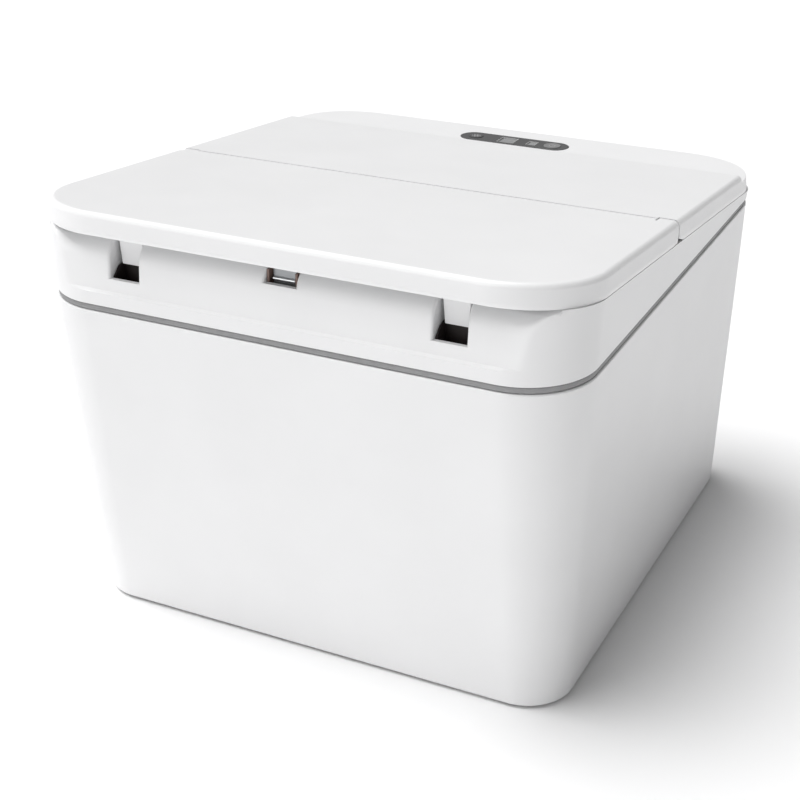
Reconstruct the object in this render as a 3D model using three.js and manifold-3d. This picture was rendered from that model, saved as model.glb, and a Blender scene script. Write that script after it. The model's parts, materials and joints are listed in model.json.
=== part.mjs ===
// Household trash compactor: a squat bin with a hinged front lid and a horizontal screw-driven press.
// Millimetres, +Z up, +X to the right seen from the front, +Y towards the rear.
// The group's origin is under the middle of the object, on the surface that it stands on.
// While the pieces are built, y = 0 is the front of the tub's rim and z = 0 is the resting surface.
import * as THREE from "three";
import { mergeVertices } from "three/addons/utils/BufferGeometryUtils.js";
import Module from "manifold-3d";

const wasm = await Module();
wasm.setup();

// ---------------------------------------------------------------- driving dimensions

// outer form
const bodyWidth = 400; // over the tub's rim
const bodyDepth = 439; // tub rim, front to rear
const rimHeight = 249.5; // tub rim at the front
const rimRearHeight = 260;
const frontLean = 28.8; // how far the tub's front foot stands back from its rim
const sideLean = 10.2;
const rimRadius = 49.2; // vertical corners at the rim
const footRadius = 35.2; // vertical corners at the bottom
const bottomRound = 3;
const footClearance = 1.5; // tub bottom above the resting surface
const tubWall = 2.8;
const tubRearWall = 4.5;
const tubFloor = 4;
const rimFlangeWidth = 10;
const rimFlangeThick = 6;

// dark band between tub and head
const bandGap = 4.8;
const bandSet = 1; // how far the band stands back from the outer faces
const bandWidth = 7;

// head, lid and deck share a sloping parting plane and a sloping top
const partingHeight = 305.3; // at y = 0
const topHeight = 321.9; // at y = 0
const topRearFall = 37.75; // both planes fall this much from front to rear
const partingGap = 0.6;
const lidOverhang = 4.2;
const lidBulge = 1.8; // the lid is this much wider than the rim, each side
const lidRadius = 61;
const shellWall = 3;
const headRoofThick = 3.6;
const topRound = 4;

// lid, hinge line and deck
const hingeY = 198;
const noseRadius = 2.2; // rounded rear edge of the lid, about the hinge axis
const seamGap = 0.6;
const pinRadius = 1.2;
const pinClearance = 0.3;
const pinReach = 11;
const bracketWidth = 14.4;
const bracketProud = 1.2; // beyond the rim's half width
const bracketDepth = 8.6;
const bracketGap = 0.6;
const lidRearRib = 6;
const linerInset = 0.4;
const linerThick = 2;
const linerLift = 3;
const lidOpenRelief = 12.5; // length of the sloped underside at the lid's rear
const lidRearLift = 2; // and its rise
const reliefLength = 14; // notch under the deck's front corners
const reliefTall = 4.3;

// rear shelf with the controls
const shelfDepth = 71.5; // ridge to the tub's rear
const shelfDrop = 5;
const hollowRear = 14; // the cover is solid behind this distance from the tub's rear
const shelfWall = 4;
const panelLength = 96;
const panelWidth = 23.5;
const panelSet = 43; // panel centre in front of the tub's rear
const panelThick = 3;
const panelProud = 0.2;
const panelFit = 0.3;
const powerX = 34;
const powerRadius = 7.2;
const lightX = -34.7;
const lightRadius = 6;
const keyHeight = 5;
const keyProud = 0.5;
const keyTravel = 0.6;
const displayX = -6;
const displaySize = 15;
const statusX = 16;
const statusWidth = 8.5;
const statusDepth = 10.5;
const boardDrop = 9;
const boardThick = 1.6;
const boardHalf = 58;

// front of the head
const ledgeHeight = 264.4;
const recessDepth = 1.8; // at the ledge
const recessLean = 1.8; // further back where the round starts
const recessRound = 18;
const recessRoundStart = 286;
const slotX = 119.5;
const slotWidth = 22.8;
const slotFloor = 274.4;
const slotLip = 6; // rear of the slot's front lip, with a well behind it
const slotWell = 262;
const slotRear = 21;
const slotWindowInset = 1.9; // the window in the slot's back is this much narrower, each side
const slotWindowTop = 290;
const catchSlotWidth = 23;
const catchSlotFloor = 291;

// throat, bin and press
const sideMargin = 50; // body side to throat side, at the rim
const throatFront = 43;
const throatSet = 12; // throat's rear edge ahead of the hinge line
const throatRadius = 24;
const beamReach = 9; // the head's cross beam reaches this far behind the hinge line
const binWall = 3;
const binSet = 15; // throat side to bin outer side
const binBase = 6.3;
const binDrop = 5.5; // bin top below the rim
const binUnder = 10; // the bin reaches this far under the beam
const binRadius = 10;
const bagRingSet = 3; // the bag ring's front edge ahead of the throat
const ramGap = 2; // ram seal to bin, each side
const sealWidth = 3;
const ramThick = 10;
const ramParkGap = 3; // bin's rear edge to the ram plate
const bulkheadThick = 4;
const bulkheadGap = 2.6; // ram plate to the rod bushes
const rodSpread = 95;
const rodRadius = 7;
const driveHeight = 125; // lead screw and push rods
const bushFlange = 1.6;
const bushRadius = 13;
const runClearance = 0.6;
const crossheadHeight = 30;
const crossheadDepth = 20;
const nutRadius = 14;
const nutLip = 3.5;
const screwRadius = 7.5;
const bearingRadius = 16;
const plateFromRear = 41; // gear plate's front face, from the tub's rear
const plateThick = 4;
const plateHalf = 76;
const plateRise = 63; // above the drive's axis
const plateBottom = 8;
const tieX = 62;
const tieRise = 43; // above the drive's axis
const tieRadius = 6;
const gearModule = 2;
const gearTeeth = 51;
const pinionTeeth = 17;
const gearThick = 10;
const pressureAngle = Math.PI / 9;
const gearBacklash = 0.35;
const gearboxRadius = 26;
const gearboxLength = 44;
const motorRadius = 24;
const motorLength = 88;
const motorShaftRadius = 4;
const crossheadPark = 8; // crosshead to gear plate at rest

// lid lock and catch
const hookFront = 13.5;
const hookThick = 5;
const hookTopWidth = 20;
const hookTipWidth = 16;
const hookTip = 282.5;
const hookPocketWidth = 9;
const hookPocketTall = 7;
const hookPocketDeep = 3.6;
const lockHeight = 286.8;
const lockBoltRadius = 2.6;
const lockBarDepth = 3;
const lockBarTop = 281.4;
const lockBarTall = 6;
const lockArmWidth = 12;
const lockStroke = 6;
const lockTabWidth = 12;
const actuatorWidth = 42;
const actuatorTall = 24.5;
const actuatorDrop = 6.5; // its top below the head
const pocketFront = 24;
const pocketRear = 40;
const catchFront = 8;
const catchRear = 32.4;
const catchWall = 1.6;
const catchFloor = 282.3;
const strikerSet = 4;
const strikerThick = 1.6;
const strikerWidth = 17;
const plungerHeight = 289;
const plungerRadius = 3;
const plungerStroke = 3;

// rear wall
const coverHalf = 112;
const coverBottom = 22;
const coverTop = 196;
const coverThick = 2.2;
const coverRecess = 2.6;
const coverLedge = 12;
const coverRadius = 12;
const coverScrewInset = 7;
const screwHeadRadius = 3.4;
const screwShankRadius = 1.6;
const inletX = -150;
const inletHeight = 44;
const inletWidth = 28;
const inletTall = 20;
const inletDepth = 22;

const footPadRadius = 12;
const footPadInset = 34;
const fit = 0.3; // between pieces that touch

// ---------------------------------------------------------------- places worked out from them

const rimRise = (rimRearHeight - rimHeight) / bodyDepth;
const topFall = topRearFall / bodyDepth;
const halfWidth = bodyWidth / 2;
const throatHalf = halfWidth - sideMargin;
const throatRear = hingeY - throatSet;
const beamRear = hingeY + beamReach;
const binRear = throatRear + binUnder;
const binHalf = throatHalf + binSet;
const hingeHeight = topHeight - topFall * hingeY - noseRadius;
const seamRear = hingeY + noseRadius + seamGap;
const ridgeY = bodyDepth - shelfDepth;
const shelfHeight = topHeight - topFall * ridgeY - shelfDrop;
const panelY = bodyDepth - panelSet;
const panelTop = shelfHeight + panelProud;
const bandHeight = rimHeight + bandGap;
const binTop = rimHeight - binDrop;
const ramFront = binRear + ramParkGap;
const ramRear = ramFront + ramThick;
const bulkheadFront = ramRear + bulkheadGap;
const bulkheadRear = bulkheadFront + bulkheadThick;
const plateFront = bodyDepth - plateFromRear;
const crossheadRear = plateFront - crossheadPark;
const crossheadFront = crossheadRear - crossheadDepth;
const gearRadius = (gearModule * gearTeeth) / 2;
const pinionRadius = (gearModule * pinionTeeth) / 2;
const tieHeight = driveHeight + tieRise;
const plateTop = driveHeight + plateRise;
const motorHeight = driveHeight - gearRadius - pinionRadius;
const gearFront = plateFront + plateThick + 4;
const gearboxRear = plateFront - 0.5;
const gearboxFront = gearboxRear - gearboxLength;
const bracketInner = halfWidth + bracketProud - bracketWidth;

const rimAt = (y) => rimHeight + rimRise * y;
const partingAt = (y) => partingHeight - topFall * y;
const topAt = (y) => topHeight - topFall * y;
const headRoofAt = (y) => partingAt(y) - partingGap - headRoofThick;

// ---------------------------------------------------------------- shape helpers

function toSolid(geometry) {
  const plain = geometry.index ? geometry.toNonIndexed() : geometry.clone();
  for (const name of Object.keys(plain.attributes)) {
    if (name !== "position") plain.deleteAttribute(name);
  }
  const merged = mergeVertices(plain, 1e-4);
  return new wasm.Manifold(
    new wasm.Mesh({
      numProp: 3,
      vertProperties: new Float32Array(merged.attributes.position.array),
      triVerts: new Uint32Array(merged.index.array),
    }),
  );
}

function toGeometry(solid) {
  const mesh = solid.getMesh();
  const positions = new Float32Array(mesh.numVert * 3);
  for (let i = 0; i < mesh.numVert; i++) {
    for (let k = 0; k < 3; k++) {
      positions[3 * i + k] = mesh.vertProperties[mesh.numProp * i + k];
    }
  }
  const geometry = new THREE.BufferGeometry();
  geometry.setAttribute("position", new THREE.BufferAttribute(positions, 3));
  geometry.setIndex(new THREE.BufferAttribute(new Uint32Array(mesh.triVerts), 1));
  geometry.computeVertexNormals();
  return geometry;
}

const joined = (first, ...rest) => rest.reduce((sum, next) => sum.add(next), first);
const cut = (first, ...rest) => rest.reduce((left, next) => left.subtract(next), first);

function box(x0, x1, y0, y1, z0, z1) {
  const geometry = new THREE.BoxGeometry(x1 - x0, y1 - y0, z1 - z0);
  geometry.translate((x0 + x1) / 2, (y0 + y1) / 2, (z0 + z1) / 2);
  return toSolid(geometry);
}

// A flat outline, pushed out along one axis. The outline's points are in the other two axes, in X, Y, Z order.
function prism(points, axis, from, to) {
  const shape = new THREE.Shape(points.map(([a, b]) => new THREE.Vector2(a, b)));
  const geometry = new THREE.ExtrudeGeometry(shape, { depth: to - from, bevelEnabled: false });
  const turn = {
    x: new THREE.Matrix4().set(0, 0, 1, from, 1, 0, 0, 0, 0, 1, 0, 0, 0, 0, 0, 1),
    y: new THREE.Matrix4().set(1, 0, 0, 0, 0, 0, -1, to, 0, 1, 0, 0, 0, 0, 0, 1),
    z: new THREE.Matrix4().makeTranslation(0, 0, from),
  }[axis];
  geometry.applyMatrix4(turn);
  return toSolid(geometry);
}

// A rod or disc along an axis, centred on the other two.
function rod(axis, radius, from, to, a, b, sides = 24) {
  const points = [];
  for (let i = 0; i < sides; i++) {
    const turn = (2 * Math.PI * i) / sides;
    points.push([a + radius * Math.cos(turn), b + radius * Math.sin(turn)]);
  }
  return prism(points, axis, from, to);
}

// A solid of revolution about a line along Y; the profile's points are (radius, y), front to rear.
function turned(profile, x, z, sides) {
  const points = profile.map(([radius, y]) => new THREE.Vector2(radius, y));
  const geometry = new THREE.LatheGeometry(points, sides);
  geometry.translate(x, 0, z);
  return toSolid(geometry);
}

function ring(axis, outer, inner, from, to, a, b, sides = 24) {
  return cut(rod(axis, outer, from, to, a, b, sides), rod(axis, inner, from - 1, to + 1, a, b, sides));
}

// Rounded rectangle, counter-clockwise, symmetric about x = 0.
function roundedOutline(half, front, rear, radius, steps = 6) {
  const points = [];
  const corners = [
    [half - radius, front + radius, -Math.PI / 2],
    [half - radius, rear - radius, 0],
    [-half + radius, rear - radius, Math.PI / 2],
    [-half + radius, front + radius, Math.PI],
  ];
  for (const [cx, cy, start] of corners) {
    for (let i = 0; i <= steps; i++) {
      const turn = start + (Math.PI / 2) * (i / steps);
      points.push([cx + radius * Math.cos(turn), cy + radius * Math.sin(turn)]);
    }
  }
  return points;
}

// A solid through a stack of outlines, each with its own height as a function of y.
function loft(levels) {
  const rings = levels.map(({ outline, height }) => outline.map(([x, y]) => [x, y, height(y)]));
  const count = rings[0].length;
  const positions = rings.flat(2);
  const faces = [];
  for (let level = 0; level + 1 < rings.length; level++) {
    for (let i = 0; i < count; i++) {
      const next = (i + 1) % count;
      const a = level * count + i;
      const b = level * count + next;
      faces.push(a, b, b + count, a, b + count, a + count);
    }
  }
  const last = (rings.length - 1) * count;
  for (let i = 1; i + 1 < count; i++) {
    faces.push(0, i + 1, i);
    faces.push(last, last + i, last + i + 1);
  }
  const geometry = new THREE.BufferGeometry();
  geometry.setAttribute("position", new THREE.Float32BufferAttribute(positions, 3));
  geometry.setIndex(faces);
  return toSolid(geometry);
}

// Everything of an outline between two heights.
function slab(outline, bottom, top) {
  return loft([
    { outline, height: bottom },
    { outline, height: top },
  ]);
}

const above = (y0, y1, height, depth = 400) =>
  slab([[-400, y0], [400, y0], [400, y1], [-400, y1]], height, (y) => height(y) + depth);

// ---------------------------------------------------------------- materials

const finishes = {
  whitePlastic: { color: 0xf1f1f2, roughness: 0.42, metalness: 0 },
  darkRubber: { color: 0x57585b, roughness: 0.8, metalness: 0 },
  blackRubber: { color: 0x1c1c1e, roughness: 0.85, metalness: 0 },
  smokedPanel: { color: 0x3d3e41, roughness: 0.3, metalness: 0 },
  lens: { color: 0x8d9195, roughness: 0.15, metalness: 0 },
  keyPlastic: { color: 0x6b6d70, roughness: 0.5, metalness: 0 },
  greyPlastic: { color: 0x9a9da1, roughness: 0.55, metalness: 0 },
  brownPlastic: { color: 0x6a5248, roughness: 0.5, metalness: 0 },
  steel: { color: 0xb4b6b9, roughness: 0.35, metalness: 1 },
  darkSteel: { color: 0x77797c, roughness: 0.45, metalness: 1 },
  brass: { color: 0xc9a45a, roughness: 0.4, metalness: 1 },
  aluminium: { color: 0xc5c8cb, roughness: 0.4, metalness: 1 },
  nylon: { color: 0xe3dfd2, roughness: 0.6, metalness: 0 },
  circuit: { color: 0x1f6b3c, roughness: 0.6, metalness: 0 },
  charcoal: { color: 0x2d2f31, roughness: 0.7, metalness: 0 },
};

const compactor = new THREE.Group();
compactor.position.set(0, -(bodyDepth - lidOverhang) / 2, 0);

function add(name, finish, solid) {
  const mesh = new THREE.Mesh(toGeometry(solid), new THREE.MeshStandardMaterial(finishes[finish]));
  mesh.name = name;
  compactor.add(mesh);
}

// ---------------------------------------------------------------- tub and band

const tubHalfAt = (z) => halfWidth - (sideLean * (rimHeight - z)) / rimHeight;
const tubFrontAt = (z) => (frontLean * (rimHeight - z)) / rimHeight;
const tubRadiusAt = (z) => rimRadius - ((rimRadius - footRadius) * (rimHeight - z)) / rimHeight;

function tubOutline(z, inset, rearInset) {
  const radius = Math.max(tubRadiusAt(z) - inset, 4);
  return roundedOutline(tubHalfAt(z) - inset, tubFrontAt(z) + inset, bodyDepth - rearInset, radius);
}

function tubShell() {
  const foot = footClearance + bottomRound;
  const outer = loft([
    { outline: tubOutline(footClearance, bottomRound, bottomRound), height: () => footClearance },
    { outline: tubOutline(footClearance, bottomRound * 0.3, bottomRound * 0.3), height: () => foot - 2.1 },
    { outline: tubOutline(foot, 0, 0), height: () => foot },
    { outline: tubOutline(rimHeight, 0, 0), height: (y) => rimAt(y) - 1.4 },
    { outline: tubOutline(rimHeight, 0.9, 0.9), height: rimAt },
  ]);
  const floor = footClearance + tubFloor;
  const cavity = loft([
    { outline: tubOutline(floor, tubWall, tubRearWall), height: () => floor },
    { outline: tubOutline(rimHeight, tubWall, tubRearWall), height: (y) => rimAt(y) - rimFlangeThick },
  ]);
  const mouth = slab(
    tubOutline(rimHeight, rimFlangeWidth, rimFlangeWidth),
    (y) => rimAt(y) - rimFlangeThick - 1,
    (y) => rimAt(y) + 1,
  );
  return cut(outer, cavity, mouth, coverOpening(), inletOpening(), ...footPads(-0.5, fit));
}

function footPads(from, clearance = 0) {
  const x = tubHalfAt(0) - footPadInset;
  const front = tubFrontAt(0) + footPadInset;
  const rear = bodyDepth - footPadInset;
  const radius = footPadRadius + clearance;
  const top = footClearance + 1.5 + clearance;
  return [
    [-x, front],
    [x, front],
    [-x, rear],
    [x, rear],
  ].map(([px, py]) => rod("z", radius, from, top, px, py, 20));
}

function coverOutline(inset) {
  const middle = (coverBottom + coverTop) / 2;
  const half = (coverTop - coverBottom) / 2;
  return roundedOutline(coverHalf - inset, middle - half + inset, middle + half - inset, coverRadius, 4);
}

function coverOpening() {
  return joined(
    prism(coverOutline(0), "y", bodyDepth - coverRecess, bodyDepth + 1),
    prism(coverOutline(coverLedge), "y", bodyDepth - tubRearWall - 1, bodyDepth + 1),
    ...coverScrewSpots().map(([x, z]) =>
      rod("y", screwShankRadius + fit, bodyDepth - tubRearWall - 1, bodyDepth + 1, x, z, 12),
    ),
  );
}

function coverScrewSpots() {
  const x = coverHalf - coverScrewInset;
  const spots = [];
  for (const sx of [-x, x]) {
    for (const z of [coverBottom + coverScrewInset, coverTop - coverScrewInset]) spots.push([sx, z]);
  }
  return spots;
}

function serviceCover() {
  const panel = prism(coverOutline(fit), "y", bodyDepth - coverThick, bodyDepth - 0.2);
  const holes = coverScrewSpots().map(([x, z]) =>
    rod("y", screwShankRadius + fit, bodyDepth - 10, bodyDepth + 1, x, z, 12),
  );
  const sinks = coverScrewSpots().map(([x, z]) =>
    rod("y", screwHeadRadius + fit, bodyDepth - 1.3, bodyDepth + 1, x, z, 16),
  );
  return cut(panel, ...holes, ...sinks);
}

function coverScrew([x, z]) {
  const head = rod("y", screwHeadRadius, bodyDepth - 1, bodyDepth + 0, x, z, 16);
  const shank = rod("y", screwShankRadius, bodyDepth - 9, bodyDepth - 0.9, x, z, 12);
  const slot = box(x - 2.2, x + 2.2, bodyDepth - 0.5, bodyDepth + 1, z - 0.4, z + 0.4);
  const cross = box(x - 0.4, x + 0.4, bodyDepth - 0.5, bodyDepth + 1, z - 2.2, z + 2.2);
  return cut(joined(head, shank), slot, cross);
}

function inletBlock(clearance) {
  return [
    inletX - inletWidth / 2 - clearance,
    inletX + inletWidth / 2 + clearance,
    inletHeight - inletTall / 2 - clearance,
    inletHeight + inletTall / 2 + clearance,
  ];
}

function inletOpening() {
  const [x0, x1, z0, z1] = inletBlock(fit);
  return box(x0, x1, bodyDepth - 12, bodyDepth + 1, z0, z1);
}

function powerInlet() {
  const [x0, x1, z0, z1] = inletBlock(0);
  const block = box(x0, x1, bodyDepth - inletDepth, bodyDepth - 0.2, z0, z1);
  const well = box(x0 + 2.5, x1 - 2.5, bodyDepth - 16, bodyDepth + 1, z0 + 2.5, z1 - 2.5);
  const pins = [-7, 0, 7].map((dx) => {
    const lift = dx === 0 ? 2 : -1;
    const x = inletX + dx;
    const z = inletHeight + lift;
    return box(x - 1, x + 1, bodyDepth - 17, bodyDepth - 6, z - 2, z + 2);
  });
  return joined(cut(block, well), ...pins);
}

function gasketBand() {
  const outer = roundedOutline(halfWidth - bandSet, bandSet, bodyDepth - bandSet, rimRadius - bandSet);
  const inset = bandSet + bandWidth;
  const inner = roundedOutline(halfWidth - inset, inset, bodyDepth - inset, rimRadius - inset);
  return cut(
    slab(outer, (y) => rimAt(y) + fit, (y) => rimAt(y) + bandGap - fit),
    slab(inner, (y) => rimAt(y) - 1, (y) => rimAt(y) + bandGap + 1),
  );
}

// ---------------------------------------------------------------- head

const headOutline = (inset) =>
  roundedOutline(halfWidth - inset, inset, bodyDepth - inset, rimRadius - inset);

function headFrame() {
  const crown = roundedOutline(halfWidth + 0.8, -1, bodyDepth - 0.4, rimRadius + 0.4);
  const outer = loft([
    { outline: headOutline(0), height: (y) => rimAt(y) + bandGap },
    { outline: crown, height: (y) => partingAt(y) - partingGap },
  ]);
  const throat = prism(
    roundedOutline(throatHalf, throatFront, throatRear, throatRadius, 4), "z", 200, 400);
  const rearBay = prism(
    roundedOutline(halfWidth - 9, beamRear, bodyDepth - 9, 36, 4), "z", 200, 400);
  return cut(outer, throat, rearBay, headHollow(), frontRecess(), ...hookSlots(), catchSlot());
}

// The head is moulded hollow from below, with walls round the throat.
function headHollow() {
  const hollow = slab(headOutline(shellWall), (y) => rimAt(y) - 20, headRoofAt);
  const zone = box(-400, 400, pocketFront, beamRear - shellWall, 200, 400);
  const throatWall = prism(
    roundedOutline(throatHalf + 3, pocketRear, throatRear + 3, throatRadius + 3, 4), "z", 200, 400);
  const outside = box(-400, 400, -50, pocketFront, 200, 400);
  const sidePockets = [-1, 1].map((side) => {
    const near = side * (catchSlotWidth / 2 + 3);
    const far = side * (slotX - slotWidth / 2 - 3);
    return box(Math.min(near, far), Math.max(near, far), 9.5, pocketFront + 1, 200, 286);
  });
  return joined(cut(hollow.intersect(zone), throatWall, outside), ...sidePockets);
}

// The wall leans back from the ledge, then rounds over toward the underside of the lid.
function frontRecess() {
  const lip = recessDepth + recessLean;
  const profile = [[-20, ledgeHeight], [recessDepth, ledgeHeight]];
  for (let i = 0; i <= 8; i++) {
    const turn = Math.PI - (Math.PI / 2) * (i / 8);
    const y = lip + recessRound + recessRound * Math.cos(turn);
    const z = recessRoundStart + recessRound * Math.sin(turn);
    profile.push([y, z]);
  }
  profile.push([lip + recessRound, 340], [-20, 340]);
  return prism(profile, "x", -halfWidth, halfWidth);
}

// Left and right slots for the lid's hooks: each has a well behind its lip and a window for a lock bolt.
function hookSlots() {
  return [-slotX, slotX].map((x) => {
    const half = slotWidth / 2;
    const windowHalf = half - slotWindowInset;
    return joined(
      box(x - half, x + half, -20, slotRear, slotFloor, 340),
      box(x - half, x + half, slotLip, slotRear, slotWell, slotFloor + 1),
      box(x - windowHalf, x + windowHalf, slotRear - 1, pocketFront + 1, slotFloor, slotWindowTop),
    );
  });
}

function catchSlot() {
  const half = catchSlotWidth / 2;
  return joined(
    box(-half, half, -20, catchFront + 1, catchSlotFloor, 340),
    box(-half, half, catchFront, catchRear + fit, catchFloor - fit, 340),
  );
}

// ---------------------------------------------------------------- lid and deck

const lidOutline = (inset) =>
  roundedOutline(
    halfWidth + lidBulge - inset,
    -lidOverhang + inset,
    bodyDepth - 0.4 - inset,
    lidRadius - inset,
  );

// The closed upper form that the lid and the deck cover are both taken from.
function upperForm() {
  const foot = roundedOutline(halfWidth + 1.1, -2.2, bodyDepth - 0.4, lidRadius - 4);
  const rise = topHeight - partingHeight;
  const rearLevel = (inset, rearInset) =>
    roundedOutline(halfWidth + lidBulge - inset, -lidOverhang + inset, bodyDepth - rearInset, lidRadius - inset);
  return loft([
    { outline: foot, height: partingAt },
    { outline: rearLevel(0, 1), height: (y) => partingAt(y) + rise * 0.3 },
    { outline: rearLevel(0, 3), height: (y) => topAt(y) - topRound * 1.9 },
    { outline: rearLevel(0.1, 6), height: (y) => topAt(y) - topRound },
    { outline: rearLevel(topRound * 0.3, 9.5), height: (y) => topAt(y) - topRound * 0.3 },
    { outline: rearLevel(topRound, 14), height: topAt },
  ]);
}

function bracketNotches(front, rear) {
  return [-1, 1].map((side) => {
    const inner = side * (bracketInner - bracketGap);
    const outer = side * 400;
    return box(Math.min(inner, outer), Math.max(inner, outer), front, rear, 200, 400);
  });
}

function pinHoles() {
  return [-1, 1].map((side) => {
    const near = side * (bracketInner - pinReach - 0.5);
    const far = side * 260;
    return rod("x", pinRadius + pinClearance, Math.min(near, far), Math.max(near, far), hingeY, hingeHeight, 16);
  });
}

function lidShell() {
  const nose = [];
  for (let i = 0; i <= 5; i++) {
    const turn = (Math.PI / 3) * (i / 5);
    nose.push([hingeY + noseRadius * Math.cos(turn), hingeHeight + noseRadius * Math.sin(turn)]);
  }
  const crest = nose[nose.length - 1][0];
  const rear = hingeY + noseRadius;
  const foot = partingAt(rear);
  const profile = prism(
    [[-60, 200], [rear - lidOpenRelief, 200], [rear - lidOpenRelief, foot + 0.4], [rear, foot + lidRearLift],
      ...nose, [crest, 400], [-60, 400]],
    "x", -400, 400);
  const hollow = slab(lidOutline(shellWall), (y) => partingAt(y) - 20, (y) => topAt(y) - shellWall);
  const inside = hollow.intersect(box(-400, 400, -60, hingeY - lidRearRib, 200, 400));
  return cut(
    upperForm().intersect(profile),
    inside,
    ...bracketNotches(hingeY - bracketDepth / 2 - bracketGap, 400),
    ...pinHoles(),
  );
}

function lidLiner() {
  const inset = shellWall + linerInset;
  const plate = slab(
    lidOutline(inset),
    (y) => partingAt(y) + linerLift,
    (y) => partingAt(y) + linerLift + linerThick,
  );
  return plate.intersect(box(-400, 400, -60, hingeY - lidRearRib - linerInset, 200, 400));
}

function lidGasket() {
  const outer = roundedOutline(throatHalf + 10, pocketRear - 4, throatRear + 5, throatRadius + 6, 4);
  const inner = roundedOutline(throatHalf + 4, pocketRear + 1, throatRear + 1, throatRadius + 1, 4);
  const bottom = (y) => partingAt(y) - partingGap + fit;
  const top = (y) => partingAt(y) + linerLift - fit;
  return cut(slab(outer, bottom, top), slab(inner, (y) => bottom(y) - 1, (y) => top(y) + 1));
}

function lidHook(x) {
  const top = partingAt(hookFront + hookThick) + linerLift - fit;
  const tongue = prism(
    [[x - hookTipWidth / 2, hookTip], [x + hookTipWidth / 2, hookTip], [x + hookTopWidth / 2, top],
      [x - hookTopWidth / 2, top]],
    "y", hookFront, hookFront + hookThick);
  const rear = hookFront + hookThick;
  const half = hookPocketWidth / 2;
  const low = lockHeight - hookPocketTall / 2;
  return cut(tongue, box(x - half, x + half, rear - hookPocketDeep, rear + 1, Math.max(low, hookTip + 1),
    lockHeight + hookPocketTall / 2));
}

function lidStriker() {
  const front = catchFront + strikerSet;
  const rear = front + strikerThick;
  const half = strikerWidth / 2;
  const top = partingAt(rear + 8) + linerLift - fit;
  return joined(
    box(-half, half, front, rear, catchFloor + 3.5, top),
    box(-half, half, front - 1.2, front + 0.2, catchSlotFloor + 1, catchSlotFloor + 3),
    box(-half, half, front, rear + 8, top - strikerThick, top),
  );
}

function deodoriserTray() {
  const y0 = 84;
  const y1 = 142;
  const top = (y) => partingAt(y) + linerLift - fit;
  const outline = roundedOutline(36, y0, y1, 8, 4);
  const tray = slab(outline, (y) => top(y) - 12, top);
  const slots = [-24, -12, 0, 12, 24].map((x) => box(x - 2, x + 2, y0 + 10, y1 - 10, 200, top(y0) - 4));
  return cut(tray, ...slots);
}

function hingeBracket(side) {
  const y0 = hingeY - bracketDepth / 2;
  const y1 = hingeY + bracketDepth / 2;
  const inner = side * bracketInner;
  // its outer top edge is rounded like the lid's
  const level = (set, height) => {
    const outer = side * (bracketInner + bracketWidth - set);
    const [left, right] = [Math.min(inner, outer), Math.max(inner, outer)];
    return { outline: [[left, y0], [right, y0], [right, y1], [left, y1]], height };
  };
  const post = loft([
    level(0.4, (y) => partingAt(y) - partingGap + fit),
    level(0, (y) => partingAt(y) + 5),
    level(0, (y) => topAt(y) - 7),
    level(0.5, (y) => topAt(y) - 4),
    level(1.6, (y) => topAt(y) - 1.6),
    level(3.6, (y) => topAt(y) - 0.4),
  ]);
  const from = side * (bracketInner - 1);
  const to = side * (bracketInner + 9.5);
  return cut(
    post,
    rod("x", pinRadius + pinClearance, Math.min(from, to), Math.max(from, to), hingeY, hingeHeight, 16),
  );
}

function hingePin(side) {
  const from = side * (bracketInner - pinReach);
  const to = side * (bracketInner + 9);
  return rod("x", pinRadius, Math.min(from, to), Math.max(from, to), hingeY, hingeHeight, 16);
}

function deckCover() {
  const rear = box(-400, 400, seamRear, 600, 200, 400);
  const shelfCut = above(ridgeY, 600, () => shelfHeight);
  const hollow = (rear, top) =>
    slab(
      roundedOutline(halfWidth + lidBulge - shellWall, 0, bodyDepth - hollowRear, lidRadius - shellWall),
      (y) => partingAt(y) - 20,
      top,
    ).intersect(box(-400, 400, seamRear + shellWall, rear, 200, 400));
  const underTop = hollow(ridgeY - shellWall, (y) => topAt(y) - shellWall);
  const underShelf = hollow(bodyDepth, () => shelfHeight - shelfWall);
  const panelHole = prism(pillOutline(panelFit), "z", shelfHeight - 40, shelfHeight + 40);
  const reliefEnd = seamRear + reliefLength;
  const cornerRelief = prism(
    [[seamRear - 1, partingAt(seamRear) + reliefTall], [seamRear - 1, 200], [reliefEnd, 200],
      [reliefEnd, partingAt(reliefEnd)]],
    "x", -400, 400).subtract(box(-bracketInner + 8, bracketInner - 8, 0, 600, 100, 500));
  return cut(
    upperForm().intersect(rear),
    shelfCut,
    underTop,
    underShelf,
    panelHole,
    cornerRelief,
    ...bracketNotches(0, hingeY + bracketDepth / 2 + bracketGap),
  );
}

// ---------------------------------------------------------------- controls

function pillOutline(clearance) {
  const radius = panelWidth / 2 + clearance;
  const reach = (panelLength - panelWidth) / 2;
  const points = [];
  for (const [cx, start] of [[reach, -Math.PI / 2], [-reach, Math.PI / 2]]) {
    for (let i = 0; i <= 16; i++) {
      const turn = start + Math.PI * (i / 16);
      points.push([cx + radius * Math.cos(turn), panelY + radius * Math.sin(turn)]);
    }
  }
  return points;
}

function panelBezel() {
  const plate = prism(pillOutline(0), "z", panelTop - panelThick, panelTop);
  const depth = displaySize / 2 + panelFit;
  const through = [panelTop - 20, panelTop + 20];
  return cut(
    plate,
    rod("z", powerRadius + panelFit, ...through, powerX, panelY, 32),
    rod("z", lightRadius + panelFit, ...through, lightX, panelY, 32),
    box(displayX - depth, displayX + depth, panelY - depth, panelY + depth, ...through),
    box(
      statusX - statusWidth / 2 - panelFit, statusX + statusWidth / 2 + panelFit,
      panelY - statusDepth / 2 - panelFit, panelY + statusDepth / 2 + panelFit,
      ...through,
    ),
  );
}

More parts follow.
